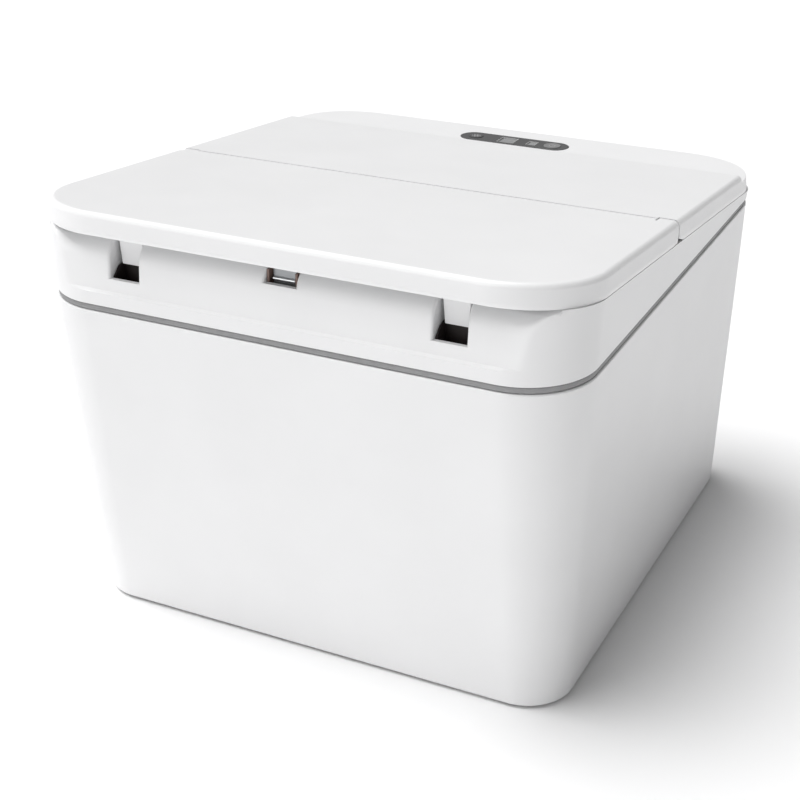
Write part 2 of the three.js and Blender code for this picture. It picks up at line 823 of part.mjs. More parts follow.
function windowPlate(x, width, depth) {
  return box(
    x - width / 2, x + width / 2, panelY - depth / 2, panelY + depth / 2,
    panelTop - panelThick, panelTop - 0.2,
  );
}

function touchKey(x, radius) {
  return rod("z", radius, panelTop + keyProud - keyHeight, panelTop + keyProud, x, panelY, 32);
}

function controlBoard() {
  const top = panelTop - boardDrop;
  const board = box(-boardHalf, boardHalf, panelY - 14, panelY + 14, top - boardThick, top);
  const stem = panelTop + keyProud - keyHeight - keyTravel - 0.4;
  const switches = [powerX, lightX].map((x) => rod("z", 2.4, top - 0.5, stem, x, panelY, 12));
  const driver = box(displayX - 8, statusX + 6, panelY - 6, panelY + 6, top - 0.5, top + 3);
  const posts = [];
  for (const x of [-boardHalf + 4, boardHalf - 4]) {
    for (const y of [panelY - 9, panelY + 9]) {
      posts.push(rod("z", 2.5, top - 0.5, shelfHeight - shelfWall - fit, x, y, 12));
    }
  }
  return joined(board, driver, ...switches, ...posts);
}

// ---------------------------------------------------------------- bin

function innerBin() {
  const outer = prism(binSection(0), "y", throatFront + 1, binRear);
  const inner = prism(binSection(binWall), "y", throatFront + 1 + binWall, binRear + 1);
  return cut(outer, inner);
}

// A U section: rounded lower corners, open at the top.
function binSection(inset) {
  const half = binHalf - inset;
  const bottom = binBase + inset;
  const top = inset ? binTop + 20 : binTop;
  const radius = binRadius - inset;
  const points = [];
  for (const [side, start] of [[-1, Math.PI], [1, -Math.PI / 2]]) {
    for (let i = 0; i <= 4; i++) {
      const turn = start + (Math.PI / 2) * (i / 4);
      points.push([side * (half - radius) + radius * Math.cos(turn), bottom + radius + radius * Math.sin(turn)]);
    }
  }
  return [...points, [half, top], [-half, top]];
}

function bagRing() {
  const front = throatFront - bagRingSet;
  const outer = roundedOutline(binHalf + 4, front, binRear + 1, 8, 3);
  const inner = roundedOutline(throatHalf + 2, front + 9, binRear - 4, 8, 3);
  return cut(prism(outer, "z", binTop + fit, binTop + 4), prism(inner, "z", binTop - 1, binTop + 5));
}

// ---------------------------------------------------------------- press

const sealHalf = binHalf - binWall - ramGap;
const sealBottom = binBase + binWall + ramGap;
const sealTop = binTop - 8;

function ramOutline(inset) {
  const middle = (sealBottom + sealTop) / 2;
  const half = (sealTop - sealBottom) / 2;
  const radius = Math.max(binRadius - inset, 3);
  return roundedOutline(sealHalf - inset, middle - half + inset, middle + half - inset, radius, 4);
}

function ramPlate() {
  const plate = prism(ramOutline(sealWidth + fit), "y", ramFront, ramRear);
  const bores = [-rodSpread, rodSpread].map((x) => rod("y", rodRadius + fit, ramRear - 6, ramRear + 1, x, driveHeight));
  const ribs = [];
  for (let i = 0; i < 5; i++) {
    const z = sealBottom + 26 + i * ((sealTop - sealBottom - 52) / 4);
    const low = Math.abs(z - driveHeight) < 18 ? rodSpread - 12 : sealHalf - 14;
    ribs.push(box(-low, low, ramFront - 1, ramFront + 2.5, z - 2, z + 2));
  }
  return cut(plate, ...bores, ...ribs);
}

function ramSeal() {
  return cut(
    prism(ramOutline(0), "y", ramFront + 3, ramFront + 7),
    prism(ramOutline(sealWidth), "y", ramFront, ramRear),
  );
}

function pushRod(x) {
  return rod("y", rodRadius, ramRear - 5.6, crossheadRear, x, driveHeight, 24);
}

function crosshead() {
  const half = rodSpread + 18;
  const beam = prism(
    roundedOutline(half, driveHeight - crossheadHeight / 2, driveHeight + crossheadHeight / 2, 6, 3),
    "y", crossheadFront, crossheadRear);
  return cut(
    beam,
    rod("y", nutRadius + fit, 0, 600, 0, driveHeight),
    rod("y", rodRadius + fit, 0, 600, -rodSpread, driveHeight),
    rod("y", rodRadius + fit, 0, 600, rodSpread, driveHeight),
  );
}

function driveNut() {
  return cut(
    joined(
      rod("y", nutRadius, crossheadFront - 6, crossheadRear, 0, driveHeight, 24),
      rod("y", nutRadius + 7, crossheadFront - nutLip - fit, crossheadFront - fit, 0, driveHeight, 24),
    ),
    rod("y", screwRadius + runClearance, 0, 600, 0, driveHeight, 24),
  );
}

function leadScrew() {
  const shoulder = gearFront - 1;
  const journal = screwRadius - 1.5;
  return turned(
    [[0, bulkheadRear + 2], [screwRadius, bulkheadRear + 2], [screwRadius, shoulder], [journal, shoulder],
      [journal, gearFront + gearThick + 5], [0, gearFront + gearThick + 5]],
    0, driveHeight, 24);
}

// An involute gear outline about (cx, cz), with a tooth centred on the direction of phase.
function gearOutline(teeth, cx, cz, phase) {
  const pitch = (gearModule * teeth) / 2;
  const base = pitch * Math.cos(pressureAngle);
  const tip = pitch + gearModule * 0.94;
  const root = pitch - gearModule * 1.2;
  const start = Math.max(base, root);
  const roll = (r) => Math.sqrt((r / base) ** 2 - 1);
  const involute = (r) => roll(r) - Math.atan(roll(r));
  const halfTooth = (Math.PI * gearModule / 2 - gearBacklash) / (2 * pitch);
  const flank = [start, (start + pitch) / 2, pitch, (pitch + tip) / 2, tip];
  const points = [];
  for (let tooth = 0; tooth < teeth; tooth++) {
    const centre = phase + (2 * Math.PI * tooth) / teeth;
    const side = flank.map((r) => [r, halfTooth + involute(pitch) - involute(r)]);
    const rise = [[root, side[0][1]], ...side].map(([r, a]) => [r, centre - a]);
    const fall = [...side].reverse().concat([[root, side[0][1]]]).map(([r, a]) => [r, centre + a]);
    for (const [r, a] of [...rise, ...fall]) points.push([cx + r * Math.cos(a), cz + r * Math.sin(a)]);
  }
  return points;
}

function screwGear() {
  const wheel = prism(gearOutline(gearTeeth, 0, driveHeight, -Math.PI / 2), "y", gearFront, gearFront + gearThick);
  const lightening = [];
  for (let i = 0; i < 5; i++) {
    const turn = (2 * Math.PI * i) / 5 + Math.PI / 2;
    const reach = gearRadius * 0.6;
    const x = reach * Math.cos(turn);
    const z = driveHeight + reach * Math.sin(turn);
    lightening.push(rod("y", gearRadius * 0.2, 0, 600, x, z, 16));
  }
  return cut(wheel, rod("y", screwRadius - 1.5 + fit, 0, 600, 0, driveHeight, 24), ...lightening);
}

function drivePinion() {
  const gapPhase = Math.PI / 2 + Math.PI / pinionTeeth;
  return joined(
    prism(gearOutline(pinionTeeth, 0, motorHeight, gapPhase), "y", gearFront - 0.5, gearFront + gearThick + 0.5),
    rod("y", motorShaftRadius, gearboxRear - 8, gearFront + gearThick + 2, 0, motorHeight, 20),
  );
}

function bulkhead() {
  const bottom = footClearance + tubFloor + 1;
  const top = rimAt(bulkheadFront) - rimFlangeThick - 2;
  const gap = tubWall + 1;
  const low = tubHalfAt(bottom) - gap;
  const high = tubHalfAt(top) - gap;
  const wall = prism([[-low, bottom], [low, bottom], [high, top], [-high, top]], "y", bulkheadFront, bulkheadRear);
  return cut(
    wall,
    rod("y", bushRadius + fit, 0, 600, -rodSpread, driveHeight),
    rod("y", bushRadius + fit, 0, 600, rodSpread, driveHeight),
  );
}

function rodBush(x) {
  return cut(
    joined(
      rod("y", bushRadius, bulkheadFront - 1.2, bulkheadRear + 3, x, driveHeight, 24),
      rod("y", bushRadius + 3, bulkheadRear + fit, bulkheadRear + fit + bushFlange, x, driveHeight, 24),
    ),
    rod("y", rodRadius + runClearance, 0, 600, x, driveHeight, 24),
  );
}

function frontBearing() {
  return ring(
    "y", bearingRadius, screwRadius + runClearance, bulkheadRear + fit, bulkheadRear + 10, 0, driveHeight, 24);
}

function rearBearing() {
  return cut(
    joined(
      rod("y", bearingRadius, plateFront - 2, plateFront + plateThick + 1, 0, driveHeight, 24),
      rod("y", bearingRadius + 3, plateFront - 3, plateFront - fit, 0, driveHeight, 24),
    ),
    rod("y", screwRadius + runClearance, 0, 600, 0, driveHeight, 24),
  );
}

function gearPlate() {
  const plate = prism(
    roundedOutline(plateHalf, plateBottom, plateTop, 14, 4), "y", plateFront, plateFront + plateThick);
  return cut(
    plate,
    rod("y", bearingRadius + fit, 0, 600, 0, driveHeight),
    rod("y", motorShaftRadius + 3, 0, 600, 0, motorHeight),
  );
}

function tieBar(side) {
  return rod("y", tieRadius, bulkheadRear + fit, plateFront - fit, side * tieX, tieHeight, 18);
}

function motorGearbox() {
  return cut(
    joined(
      rod("y", gearboxRadius, gearboxFront, gearboxRear - 4, 0, motorHeight, 28),
      rod("y", 11, gearboxRear - 5, gearboxRear, 0, motorHeight, 20),
    ),
    rod("y", motorShaftRadius + runClearance, gearboxRear - 10, gearboxRear + 1, 0, motorHeight, 20),
  );
}

function driveMotor() {
  const rear = gearboxFront - fit;
  return joined(
    rod("y", motorRadius, rear - motorLength + 6, rear, 0, motorHeight, 28),
    rod("y", motorRadius * 0.5, rear - motorLength, rear - motorLength + 7, 0, motorHeight, 20),
  );
}

function powerSupply() {
  const floor = footClearance + tubFloor + fit;
  return box(102, 172, plateFront - 96, plateFront - 6, floor, floor + 42);
}

// ---------------------------------------------------------------- lid lock and catch

function lockBar() {
  const tip = slotRear + runClearance;
  const y0 = pocketFront + lockStroke + 3;
  const y1 = y0 + lockBarDepth;
  const reach = slotX + lockArmWidth / 2;
  const bar = box(-reach, reach, y0, y1, lockBarTop - lockBarTall, lockBarTop);
  const tabBottom = bandHeight - actuatorDrop + fit;
  const tab = box(-lockTabWidth / 2, lockTabWidth / 2, y0, y1, tabBottom, lockBarTop - 1);
  const arms = [-slotX, slotX].map((x) =>
    joined(
      box(x - lockArmWidth / 2, x + lockArmWidth / 2, y0, y1, lockBarTop - 1, lockHeight + lockBoltRadius + 1),
      rod("y", lockBoltRadius, tip, y0 + 0.5, x, lockHeight, 16),
    ));
  return joined(bar, tab, ...arms);
}

function lockActuator() {
  const top = bandHeight - actuatorDrop;
  return box(
    -actuatorWidth / 2, actuatorWidth / 2,
    rimFlangeWidth + fit, throatFront - bagRingSet - fit,
    top - actuatorTall, top,
  );
}

function catchHousing() {
  const half = catchSlotWidth / 2 - fit;
  const y0 = catchFront + fit;
  const top = partingAt(catchRear) - 3;
  const outer = box(-half, half, y0, catchRear, catchFloor, top);
  const well = box(
    -half + catchWall, half - catchWall, y0 - 1, catchRear - 2 * catchWall, catchFloor + catchWall, top + 1);
  return cut(outer, well, rod("y", plungerRadius + fit, 0, 60, 0, plungerHeight, 16));
}

function catchPlunger() {
  const front = catchFront + strikerSet + strikerThick + 0.5;
  const rear = pocketRear - plungerStroke - 2.5;
  const collar = plungerRadius + 1.6;
  return turned(
    [[0, front], [plungerRadius, front], [plungerRadius, front + 3], [collar, front + 3], [collar, front + 4.2],
      [plungerRadius, front + 4.2], [plungerRadius, rear], [0, rear]],
    0, plungerHeight, 16);
}

function lidSwitch() {
  const y0 = pocketFront + fit;
  const top = headRoofAt(y0 + 8) - fit;
  return box(60, 80, y0, y0 + 8, top - 14, top);
}

function parkSwitch() {
  const z = driveHeight + crossheadHeight / 2 + runClearance;
  return box(-42, -22, plateFront - fit - 10, plateFront - fit, z, z + 14);
}

// ---------------------------------------------------------------- assembly

add("tub_shell", "whitePlastic", tubShell());
footPads(0).forEach((pad, i) => add("foot_" + (i + 1), "blackRubber", pad));
add("gasket_band", "darkRubber", gasketBand());
add("head_frame", "whitePlastic", headFrame());
add("deck_cover", "whitePlastic", deckCover());
add("rear_service_cover", "whitePlastic", serviceCover());
coverScrewSpots().forEach((spot, i) => add("cover_screw_" + (i + 1), "steel", coverScrew(spot)));
add("power_inlet", "charcoal", powerInlet());

add("panel_bezel", "smokedPanel", panelBezel());
add("display_window", "lens", windowPlate(displayX, displaySize, displaySize));
add("status_window", "lens", windowPlate(statusX, statusWidth, statusDepth));
add("light_key", "keyPlastic", touchKey(lightX, lightRadius));
add("power_button", "keyPlastic", touchKey(powerX, powerRadius));
add("control_board", "circuit", controlBoard());
add("power_supply", "aluminium", powerSupply());

add("lid_shell", "whitePlastic", lidShell());
add("lid_liner", "greyPlastic", lidLiner());
add("lid_gasket", "darkRubber", lidGasket());
add("lid_hook_left", "darkSteel", lidHook(-slotX));
add("lid_hook_right", "darkSteel", lidHook(slotX));
add("lid_striker", "steel", lidStriker());
add("deodoriser_tray", "charcoal", deodoriserTray());
for (const [side, word] of [[-1, "left"], [1, "right"]]) {
  add("hinge_bracket_" + word, "whitePlastic", hingeBracket(side));
  add("hinge_pin_" + word, "steel", hingePin(side));
}
add("lock_bar", "darkSteel", lockBar());
add("lock_actuator", "charcoal", lockActuator());
add("catch_housing", "brownPlastic", catchHousing());
add("catch_plunger", "steel", catchPlunger());
add("lid_switch", "charcoal", lidSwitch());

add("inner_bin", "greyPlastic", innerBin());
add("bag_ring", "charcoal", bagRing());
add("ram_plate", "aluminium", ramPlate());
add("ram_seal", "blackRubber", ramSeal());
for (const [side, word] of [[-1, "left"], [1, "right"]]) {
  add("push_rod_" + word, "steel", pushRod(side * rodSpread));
  add("rod_bush_" + word, "brass", rodBush(side * rodSpread));
  add("tie_bar_" + word, "darkSteel", tieBar(side));
}
add("crosshead", "darkSteel", crosshead());
add("drive_nut", "brass", driveNut());
add("lead_screw", "steel", leadScrew());
add("screw_gear", "nylon", screwGear());
add("drive_pinion", "darkSteel", drivePinion());
add("bulkhead", "darkSteel", bulkhead());
add("front_bearing", "steel", frontBearing());
add("rear_bearing", "steel", rearBearing());
add("gear_plate", "darkSteel", gearPlate());
add("motor_gearbox", "darkSteel", motorGearbox());
add("drive_motor", "steel", driveMotor());
add("park_switch", "charcoal", parkSwitch());

export default compactor;
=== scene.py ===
"""Looks for the trash compactor: fine shells, panels, hardware, materials, light and camera."""

import json
import math

import bmesh
import bpy
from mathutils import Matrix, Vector

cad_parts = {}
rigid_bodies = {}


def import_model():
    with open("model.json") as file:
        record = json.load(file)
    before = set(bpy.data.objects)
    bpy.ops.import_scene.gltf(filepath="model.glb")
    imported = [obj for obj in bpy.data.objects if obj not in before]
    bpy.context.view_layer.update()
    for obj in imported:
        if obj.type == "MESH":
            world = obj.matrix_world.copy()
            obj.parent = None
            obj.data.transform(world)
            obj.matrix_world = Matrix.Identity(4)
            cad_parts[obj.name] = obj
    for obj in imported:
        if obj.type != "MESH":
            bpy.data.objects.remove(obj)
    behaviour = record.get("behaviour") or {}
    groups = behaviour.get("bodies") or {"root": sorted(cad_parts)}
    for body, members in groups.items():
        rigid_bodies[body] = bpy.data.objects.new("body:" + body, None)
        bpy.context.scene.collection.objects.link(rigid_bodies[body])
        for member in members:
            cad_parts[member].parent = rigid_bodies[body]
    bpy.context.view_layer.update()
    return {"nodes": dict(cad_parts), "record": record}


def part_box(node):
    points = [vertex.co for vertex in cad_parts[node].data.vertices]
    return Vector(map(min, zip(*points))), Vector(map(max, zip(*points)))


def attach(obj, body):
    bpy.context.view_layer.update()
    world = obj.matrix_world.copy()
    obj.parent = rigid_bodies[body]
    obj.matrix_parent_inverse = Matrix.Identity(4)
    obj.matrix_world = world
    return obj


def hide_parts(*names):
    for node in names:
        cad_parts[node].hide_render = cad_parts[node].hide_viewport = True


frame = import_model()

MM = 0.001
BODY_DEPTH = 439.0
# y = 0 is the front of the tub's rim in the design numbers below
SHIFT = BODY_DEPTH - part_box("tub_shell")[1].y / MM


def at(x, y, z):
    """A design point in millimetres, as a place in the row frame in metres."""
    return Vector((x * MM, (y - SHIFT) * MM, z * MM))


# ------------------------------------------------------------------ camera

CAMERA_AZIMUTH = 26.149
CAMERA_ELEVATION = 25.325
camera_data = bpy.data.cameras.new("camera")
camera_data.sensor_width = 36.0
camera_data.lens = 70.22
camera = bpy.data.objects.new("camera", camera_data)
bpy.context.scene.collection.objects.link(camera)
camera.location = at(477.07, -793.39, 649.47)
camera.rotation_euler = (math.radians(90 - CAMERA_ELEVATION), 0.0, math.radians(CAMERA_AZIMUTH))
bpy.context.scene.camera = camera

# ------------------------------------------------------------------ sizes shared with the CAD model

HALF = 200.0
RIM_FRONT = 249.5
RIM_SLOPE = 10.5 / BODY_DEPTH  # height gained per millimetre towards the rear
LEAN_FRONT = 28.8
LEAN_SIDE = 10.2
RIM_RADIUS = 49.2
FOOT_RADIUS = 35.2
BAND = 4.8
PARTING = 305.3
TOP = 321.9
FALL = 37.75 / BODY_DEPTH
GAP = 0.6
HINGE_Y = 198.0
NOSE = 2.2
HINGE_Z = TOP - FALL * HINGE_Y - NOSE
SEAM_REAR = HINGE_Y + NOSE + 0.6
RIDGE_Y = BODY_DEPTH - 71.5
SHELF = TOP - FALL * RIDGE_Y - 5.0
PANEL_Y = BODY_DEPTH - 43.0
PANEL_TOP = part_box("panel_bezel")[1].z / MM
STRIP_LENGTH = 96.0
STRIP_WIDTH = 23.5
STRIKER_Y = 11.6
STRIKER_Z = 293.0
DRIVE_Z = 125.0

# limits of cutters, well clear of the part
FAR = 400.0
BEHIND = 600.0
BELOW = 180.0
AHEAD = -60.0


def rim_at(y):
    return RIM_FRONT + RIM_SLOPE * y


def parting_at(y):
    return PARTING - FALL * y


def top_at(y):
    return TOP - FALL * y


def span(node):
    """A CAD node's box in design millimetres: x0, x1, y0, y1, z0, z1."""
    low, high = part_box(node)
    return low.x / MM, high.x / MM, low.y / MM + SHIFT, high.y / MM + SHIFT, low.z / MM, high.z / MM


# ------------------------------------------------------------------ mesh building

CORNER_STEPS = 20
NEARLY_FLAT = 0.3


def new_object(name, mesh):
    made = bpy.data.objects.new(name, mesh)
    bpy.context.scene.collection.objects.link(made)
    return made


def mesh_object(name, points, faces):
    """An object from design points in millimetres."""
    mesh = bpy.data.meshes.new(name)
    mesh.from_pydata([at(*p) for p in points], [], faces)
    mesh.validate()
    work = bmesh.new()
    work.from_mesh(mesh)
    bmesh.ops.recalc_face_normals(work, faces=work.faces)
    work.to_mesh(mesh)
    work.free()
    return new_object(name, mesh)


def rounded(x0, x1, y0, y1, radius, steps=4):
    """A rectangle with round corners, anticlockwise from the front right one."""
    points = []
    corners = (
        (x1 - radius, y0 + radius, -90),
        (x1 - radius, y1 - radius, 0),
        (x0 + radius, y1 - radius, 90),
        (x0 + radius, y0 + radius, 180),
    )
    for cx, cy, start in corners:
        for i in range(steps + 1):
            turn = math.radians(start + 90 * i / steps)
            points.append((cx + radius * math.cos(turn), cy + radius * math.sin(turn)))
    return points


def outline(half, front, rear, radius, steps=CORNER_STEPS):
    """A rounded outline that is even about the middle plane."""
    return rounded(-half, half, front, rear, radius, steps)


def arc(cy, cz, radius, first, last, steps):
    """Points round a centre, in the Y and Z axes, from one angle to another in degrees."""
    return [
        (cy + radius * math.cos(math.radians(first + (last - first) * i / steps)),
         cz + radius * math.sin(math.radians(first + (last - first) * i / steps)))
        for i in range(steps + 1)
    ]


def loft(name, levels, ring=False):
    """A closed surface through outlines, each with its height: a number or a function of y.
    With ring, the last outline joins the first and there are no end faces."""
    points = []
    for loop, height in levels:
        rise = height if callable(height) else (lambda y, h=height: h)
        points += [(x, y, rise(y)) for x, y in loop]
    count = len(levels[0][0])
    faces = []
    total = len(levels)
    for level in range(total if ring else total - 1):
        upper = (level + 1) % total
        for i in range(count):
            n = (i + 1) % count
            faces.append((level * count + i, level * count + n, upper * count + n, upper * count + i))
    if not ring:
        faces.append(tuple(reversed(range(count))))
        faces.append(tuple(range((total - 1) * count, total * count)))
    return mesh_object(name, points, faces)


def prism(name, profile, axis, low, high):
    """A flat outline pushed along an axis. The profile is in the other two axes, in X, Y, Z order."""
    count = len(profile)

    def place(a, b, t):
        return {"x": (t, a, b), "y": (a, t, b), "z": (a, b, t)}[axis]

    points = [place(a, b, low) for a, b in profile] + [place(a, b, high) for a, b in profile]
    faces = [tuple(range(count)), tuple(range(count, 2 * count))]
    for i in range(count):
        n = (i + 1) % count
        faces.append((i, n, n + count, i + count))
    return mesh_object(name, points, faces)


def block(name, x0, x1, y0, y1, z0, z1):
    return prism(name, [(x0, y0), (x1, y0), (x1, y1), (x0, y1)], "z", z0, z1)


def circle(a, b, radius, steps):
    turns = [2 * math.pi * i / steps for i in range(steps)]
    return [(a + radius * math.cos(turn), b + radius * math.sin(turn)) for turn in turns]


def lathe(name, profile, axis, a, b, steps=48):
    """A turned piece about a line along an axis. The profile is (radius, along), from end to end."""
    points = []
    faces = []
    count = len(profile)
    for i in range(steps):
        turn = 2 * math.pi * i / steps
        for radius, along in profile:
            u = a + radius * math.cos(turn)
            v = b + radius * math.sin(turn)
            points.append({"x": (along, u, v), "y": (u, along, v), "z": (u, v, along)}[axis])
    for i in range(steps):
        n = (i + 1) % steps
        for k in range(count - 1):
            faces.append((i * count + k, n * count + k, n * count + k + 1, i * count + k + 1))
    made = mesh_object(name, points, faces)
    weld(made)
    return made


def weld(piece, distance=1e-6):
    work = bmesh.new()
    work.from_mesh(piece.data)
    bmesh.ops.remove_doubles(work, verts=work.verts, dist=distance)
    bmesh.ops.dissolve_degenerate(work, edges=work.edges, dist=distance)
    holes = [edge for edge in work.edges if edge.is_boundary]
    if holes:
        bmesh.ops.holes_fill(work, edges=holes, sides=0)
    bmesh.ops.recalc_face_normals(work, faces=work.faces)
    work.to_mesh(piece.data)
    work.free()


def bake(piece):
    """Applies a piece's modifiers."""
    bpy.context.view_layer.update()
    graph = bpy.context.evaluated_depsgraph_get()
    final = bpy.data.meshes.new_from_object(piece.evaluated_get(graph))
    old = piece.data
    piece.modifiers.clear()
    piece.data = final
    bpy.data.meshes.remove(old)


def combine(piece, others, operation):
    for other in others:
        step = piece.modifiers.new("combine", "BOOLEAN")
        step.operation = operation
        step.solver = "MANIFOLD"
        step.object = other
    bake(piece)
    for other in others:
        mesh = other.data
        bpy.data.objects.remove(other)
        bpy.data.meshes.remove(mesh)
    return piece


def carve(piece, cutters):
    return combine(piece, cutters, "DIFFERENCE")


def tidy_faces(piece):
    """Merges points and faces that the cuts left almost in line."""
    work = bmesh.new()
    work.from_mesh(piece.data)
    bmesh.ops.remove_doubles(work, verts=work.verts, dist=2e-6)
    bmesh.ops.dissolve_limit(
        work, angle_limit=math.radians(NEARLY_FLAT), verts=work.verts, edges=work.edges)
    work.to_mesh(piece.data)
    work.free()


def soften(piece, width, segments=2, above=40.0):
    """Small rounds on the sharp edges."""
    tidy_faces(piece)
    step = piece.modifiers.new("soften", "BEVEL")
    step.width = width * MM
    step.segments = segments
    step.limit_method = "ANGLE"
    step.angle_limit = math.radians(above)
    step.use_clamp_overlap = True
    step.miter_outer = "MITER_ARC"
    bake(piece)


def shade(piece, degrees=35.0):
    """Smooth shading below an angle, with flat faces kept flat up to their rounds."""
    mesh = piece.data
    mesh.polygons.foreach_set("use_smooth", [True] * len(mesh.polygons))
    mesh.set_sharp_from_angle(angle=math.radians(degrees))
    step = piece.modifiers.new("shade", "WEIGHTED_NORMAL")
    step.keep_sharp = True
    step.weight = 80
    bake(piece)


def finish(piece, body, material, replaces=(), degrees=35.0):
    """Shading, look, body and slot of a piece, and the CAD nodes that it stands for."""
    shade(piece, degrees)
    piece.data.materials.clear()
    piece.data.materials.append(material)
    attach(piece, body)
    if replaces:
        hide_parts(*replaces)


# ------------------------------------------------------------------ materials

def material_base(name):
    material = bpy.data.materials.new(name)
    material.use_nodes = True
    tree = material.node_tree
    shader = tree.nodes["Principled BSDF"]
    return material, tree, shader


def noise(tree, scale, detail=3.0, roughness=0.55, stretch=None):
    coords = tree.nodes.new("ShaderNodeTexCoord")
    texture = tree.nodes.new("ShaderNodeTexNoise")
    texture.inputs["Scale"].default_value = scale
    texture.inputs["Detail"].default_value = detail
    texture.inputs["Roughness"].default_value = roughness
    source = coords.outputs["Object"]
    if stretch:
        mapping = tree.nodes.new("ShaderNodeMapping")
        mapping.inputs["Scale"].default_value = stretch
        tree.links.new(source, mapping.inputs["Vector"])
        source = mapping.outputs["Vector"]
    tree.links.new(source, texture.inputs["Vector"])
    return texture.outputs["Fac"]


def ramp(tree, factor, low, high):
    """A colour between two, from the middle part of a noise."""
    node = tree.nodes.new("ShaderNodeValToRGB")
    node.color_ramp.elements[0].position = 0.3
    node.color_ramp.elements[1].position = 0.7
    node.color_ramp.elements[0].color = (*low, 1.0)
    node.color_ramp.elements[1].color = (*high, 1.0)
    tree.links.new(factor, node.inputs["Fac"])
    return node.outputs["Color"]


def spread(tree, factor, low, high):
    node = tree.nodes.new("ShaderNodeMapRange")
    node.inputs["To Min"].default_value = low
    node.inputs["To Max"].default_value = high
    tree.links.new(factor, node.inputs["Value"])
    return node.outputs["Result"]


def bump(tree, shader, height, strength, distance):
    node = tree.nodes.new("ShaderNodeBump")
    node.inputs["Strength"].default_value = strength
    node.inputs["Distance"].default_value = distance
    tree.links.new(height, node.inputs["Height"])
    tree.links.new(node.outputs["Normal"], shader.inputs["Normal"])


def plastic(name, low, high, rough, grain_scale, grain, coat=0.0):
    """Moulded plastic: slow tone drift, uneven gloss and a fine moulded grain."""
    material, tree, shader = material_base(name)
    tone = noise(tree, 14.0, 2.0)
    tree.links.new(ramp(tree, tone, low, high), shader.inputs["Base Color"])
    gloss = noise(tree, 60.0, 4.0)
    tree.links.new(spread(tree, gloss, rough - 0.05, rough + 0.05), shader.inputs["Roughness"])
    shader.inputs["Specular IOR Level"].default_value = 0.5
    shader.inputs["Coat Weight"].default_value = coat
    shader.inputs["Coat Roughness"].default_value = 0.2
    bump(tree, shader, noise(tree, grain_scale, 2.0), grain, 0.0002)
    return material


def metal(name, low, high, rough, stretch, grain=0.15):
    """Worked metal: drawn or turned grain along the stretch, with stains in the gloss."""
    material, tree, shader = material_base(name)
    lines = noise(tree, 90.0, 5.0, 0.6, stretch)
    tree.links.new(ramp(tree, lines, low, high), shader.inputs["Base Color"])
    stain = noise(tree, 30.0, 3.0)
    tree.links.new(spread(tree, stain, rough - 0.08, rough + 0.1), shader.inputs["Roughness"])
    shader.inputs["Metallic"].default_value = 1.0
    bump(tree, shader, lines, grain, 0.0001)
    return material


def rubber(name, low, high, rough=0.75):
    material, tree, shader = material_base(name)
    tree.links.new(ramp(tree, noise(tree, 220.0, 4.0), low, high), shader.inputs["Base Color"])
    tree.links.new(spread(tree, noise(tree, 40.0), rough - 0.08, rough + 0.08), shader.inputs["Roughness"])
    shader.inputs["Specular IOR Level"].default_value = 0.3
    bump(tree, shader, noise(tree, 1500.0, 2.0), 0.25, 0.0002)
    return material


WHITE_LOW = (0.83, 0.83, 0.835)
WHITE_HIGH = (0.85, 0.85, 0.855)
white = plastic("white_plastic", WHITE_LOW, WHITE_HIGH, 0.38, 900.0, 0.05)
grey = plastic("grey_plastic", (0.42, 0.425, 0.43), (0.47, 0.475, 0.48), 0.5, 1400.0, 0.2)
charcoal = plastic("charcoal_plastic", (0.03, 0.032, 0.034), (0.05, 0.052, 0.054), 0.55, 1400.0, 0.25)
# painted shade: this dark brown stands in for the shadow inside the side slots' wells
slot_shade_dark = plastic("dark_brown_plastic", (0.022, 0.016, 0.015), (0.034, 0.026, 0.024), 0.6, 900.0, 0.15)
# painted shade: the brown of this slot's parts stands in for the warm shadow on the inner walls of the
# middle slot
brown = plastic("brown_plastic", (0.16, 0.1, 0.08), (0.2, 0.13, 0.11), 0.45, 900.0, 0.15)
smoked = plastic("smoked_panel", (0.075, 0.075, 0.077), (0.09, 0.09, 0.092), 0.25, 2400.0, 0.03, coat=0.3)
lens = plastic("lens", (0.3, 0.305, 0.31), (0.36, 0.365, 0.37), 0.12, 2400.0, 0.02, coat=0.6)
key_face = plastic("key_plastic", (0.21, 0.21, 0.212), (0.25, 0.25, 0.252), 0.45, 2000.0, 0.08)
dark_key = plastic("dark_key_plastic", (0.085, 0.085, 0.087), (0.105, 0.105, 0.107), 0.4, 2000.0, 0.06)
tray_grey = plastic("tray_grey_plastic", (0.5, 0.5, 0.5), (0.56, 0.56, 0.56), 0.4, 2000.0, 0.05)
mark = plastic("mark_ink", (0.42, 0.42, 0.42), (0.5, 0.5, 0.5), 0.5, 2000.0, 0.05)
circuit = plastic("circuit_green", (0.02, 0.11, 0.045), (0.03, 0.15, 0.06), 0.4, 1600.0, 0.12)
nylon = plastic("nylon", (0.68, 0.65, 0.57), (0.75, 0.72, 0.64), 0.5, 800.0, 0.1)
dark_rubber = rubber("strip_rubber", (0.29, 0.29, 0.295), (0.33, 0.33, 0.335), 0.6)
black_rubber = rubber("black_rubber", (0.018, 0.018, 0.019), (0.03, 0.03, 0.031))
steel = metal("ground_steel", (0.5, 0.51, 0.52), (0.66, 0.67, 0.68), 0.3, (1.0, 0.05, 1.0))
plate_steel = metal("plated_steel", (0.3, 0.31, 0.32), (0.4, 0.41, 0.42), 0.42, (0.6, 1.0, 1.0), 0.1)
aluminium = metal("cast_aluminium", (0.56, 0.57, 0.58), (0.68, 0.69, 0.7), 0.45, (1.0, 1.0, 1.0), 0.2)
brass = metal("turned_brass", (0.6, 0.44, 0.19), (0.74, 0.57, 0.28), 0.32, (1.0, 0.2, 1.0))
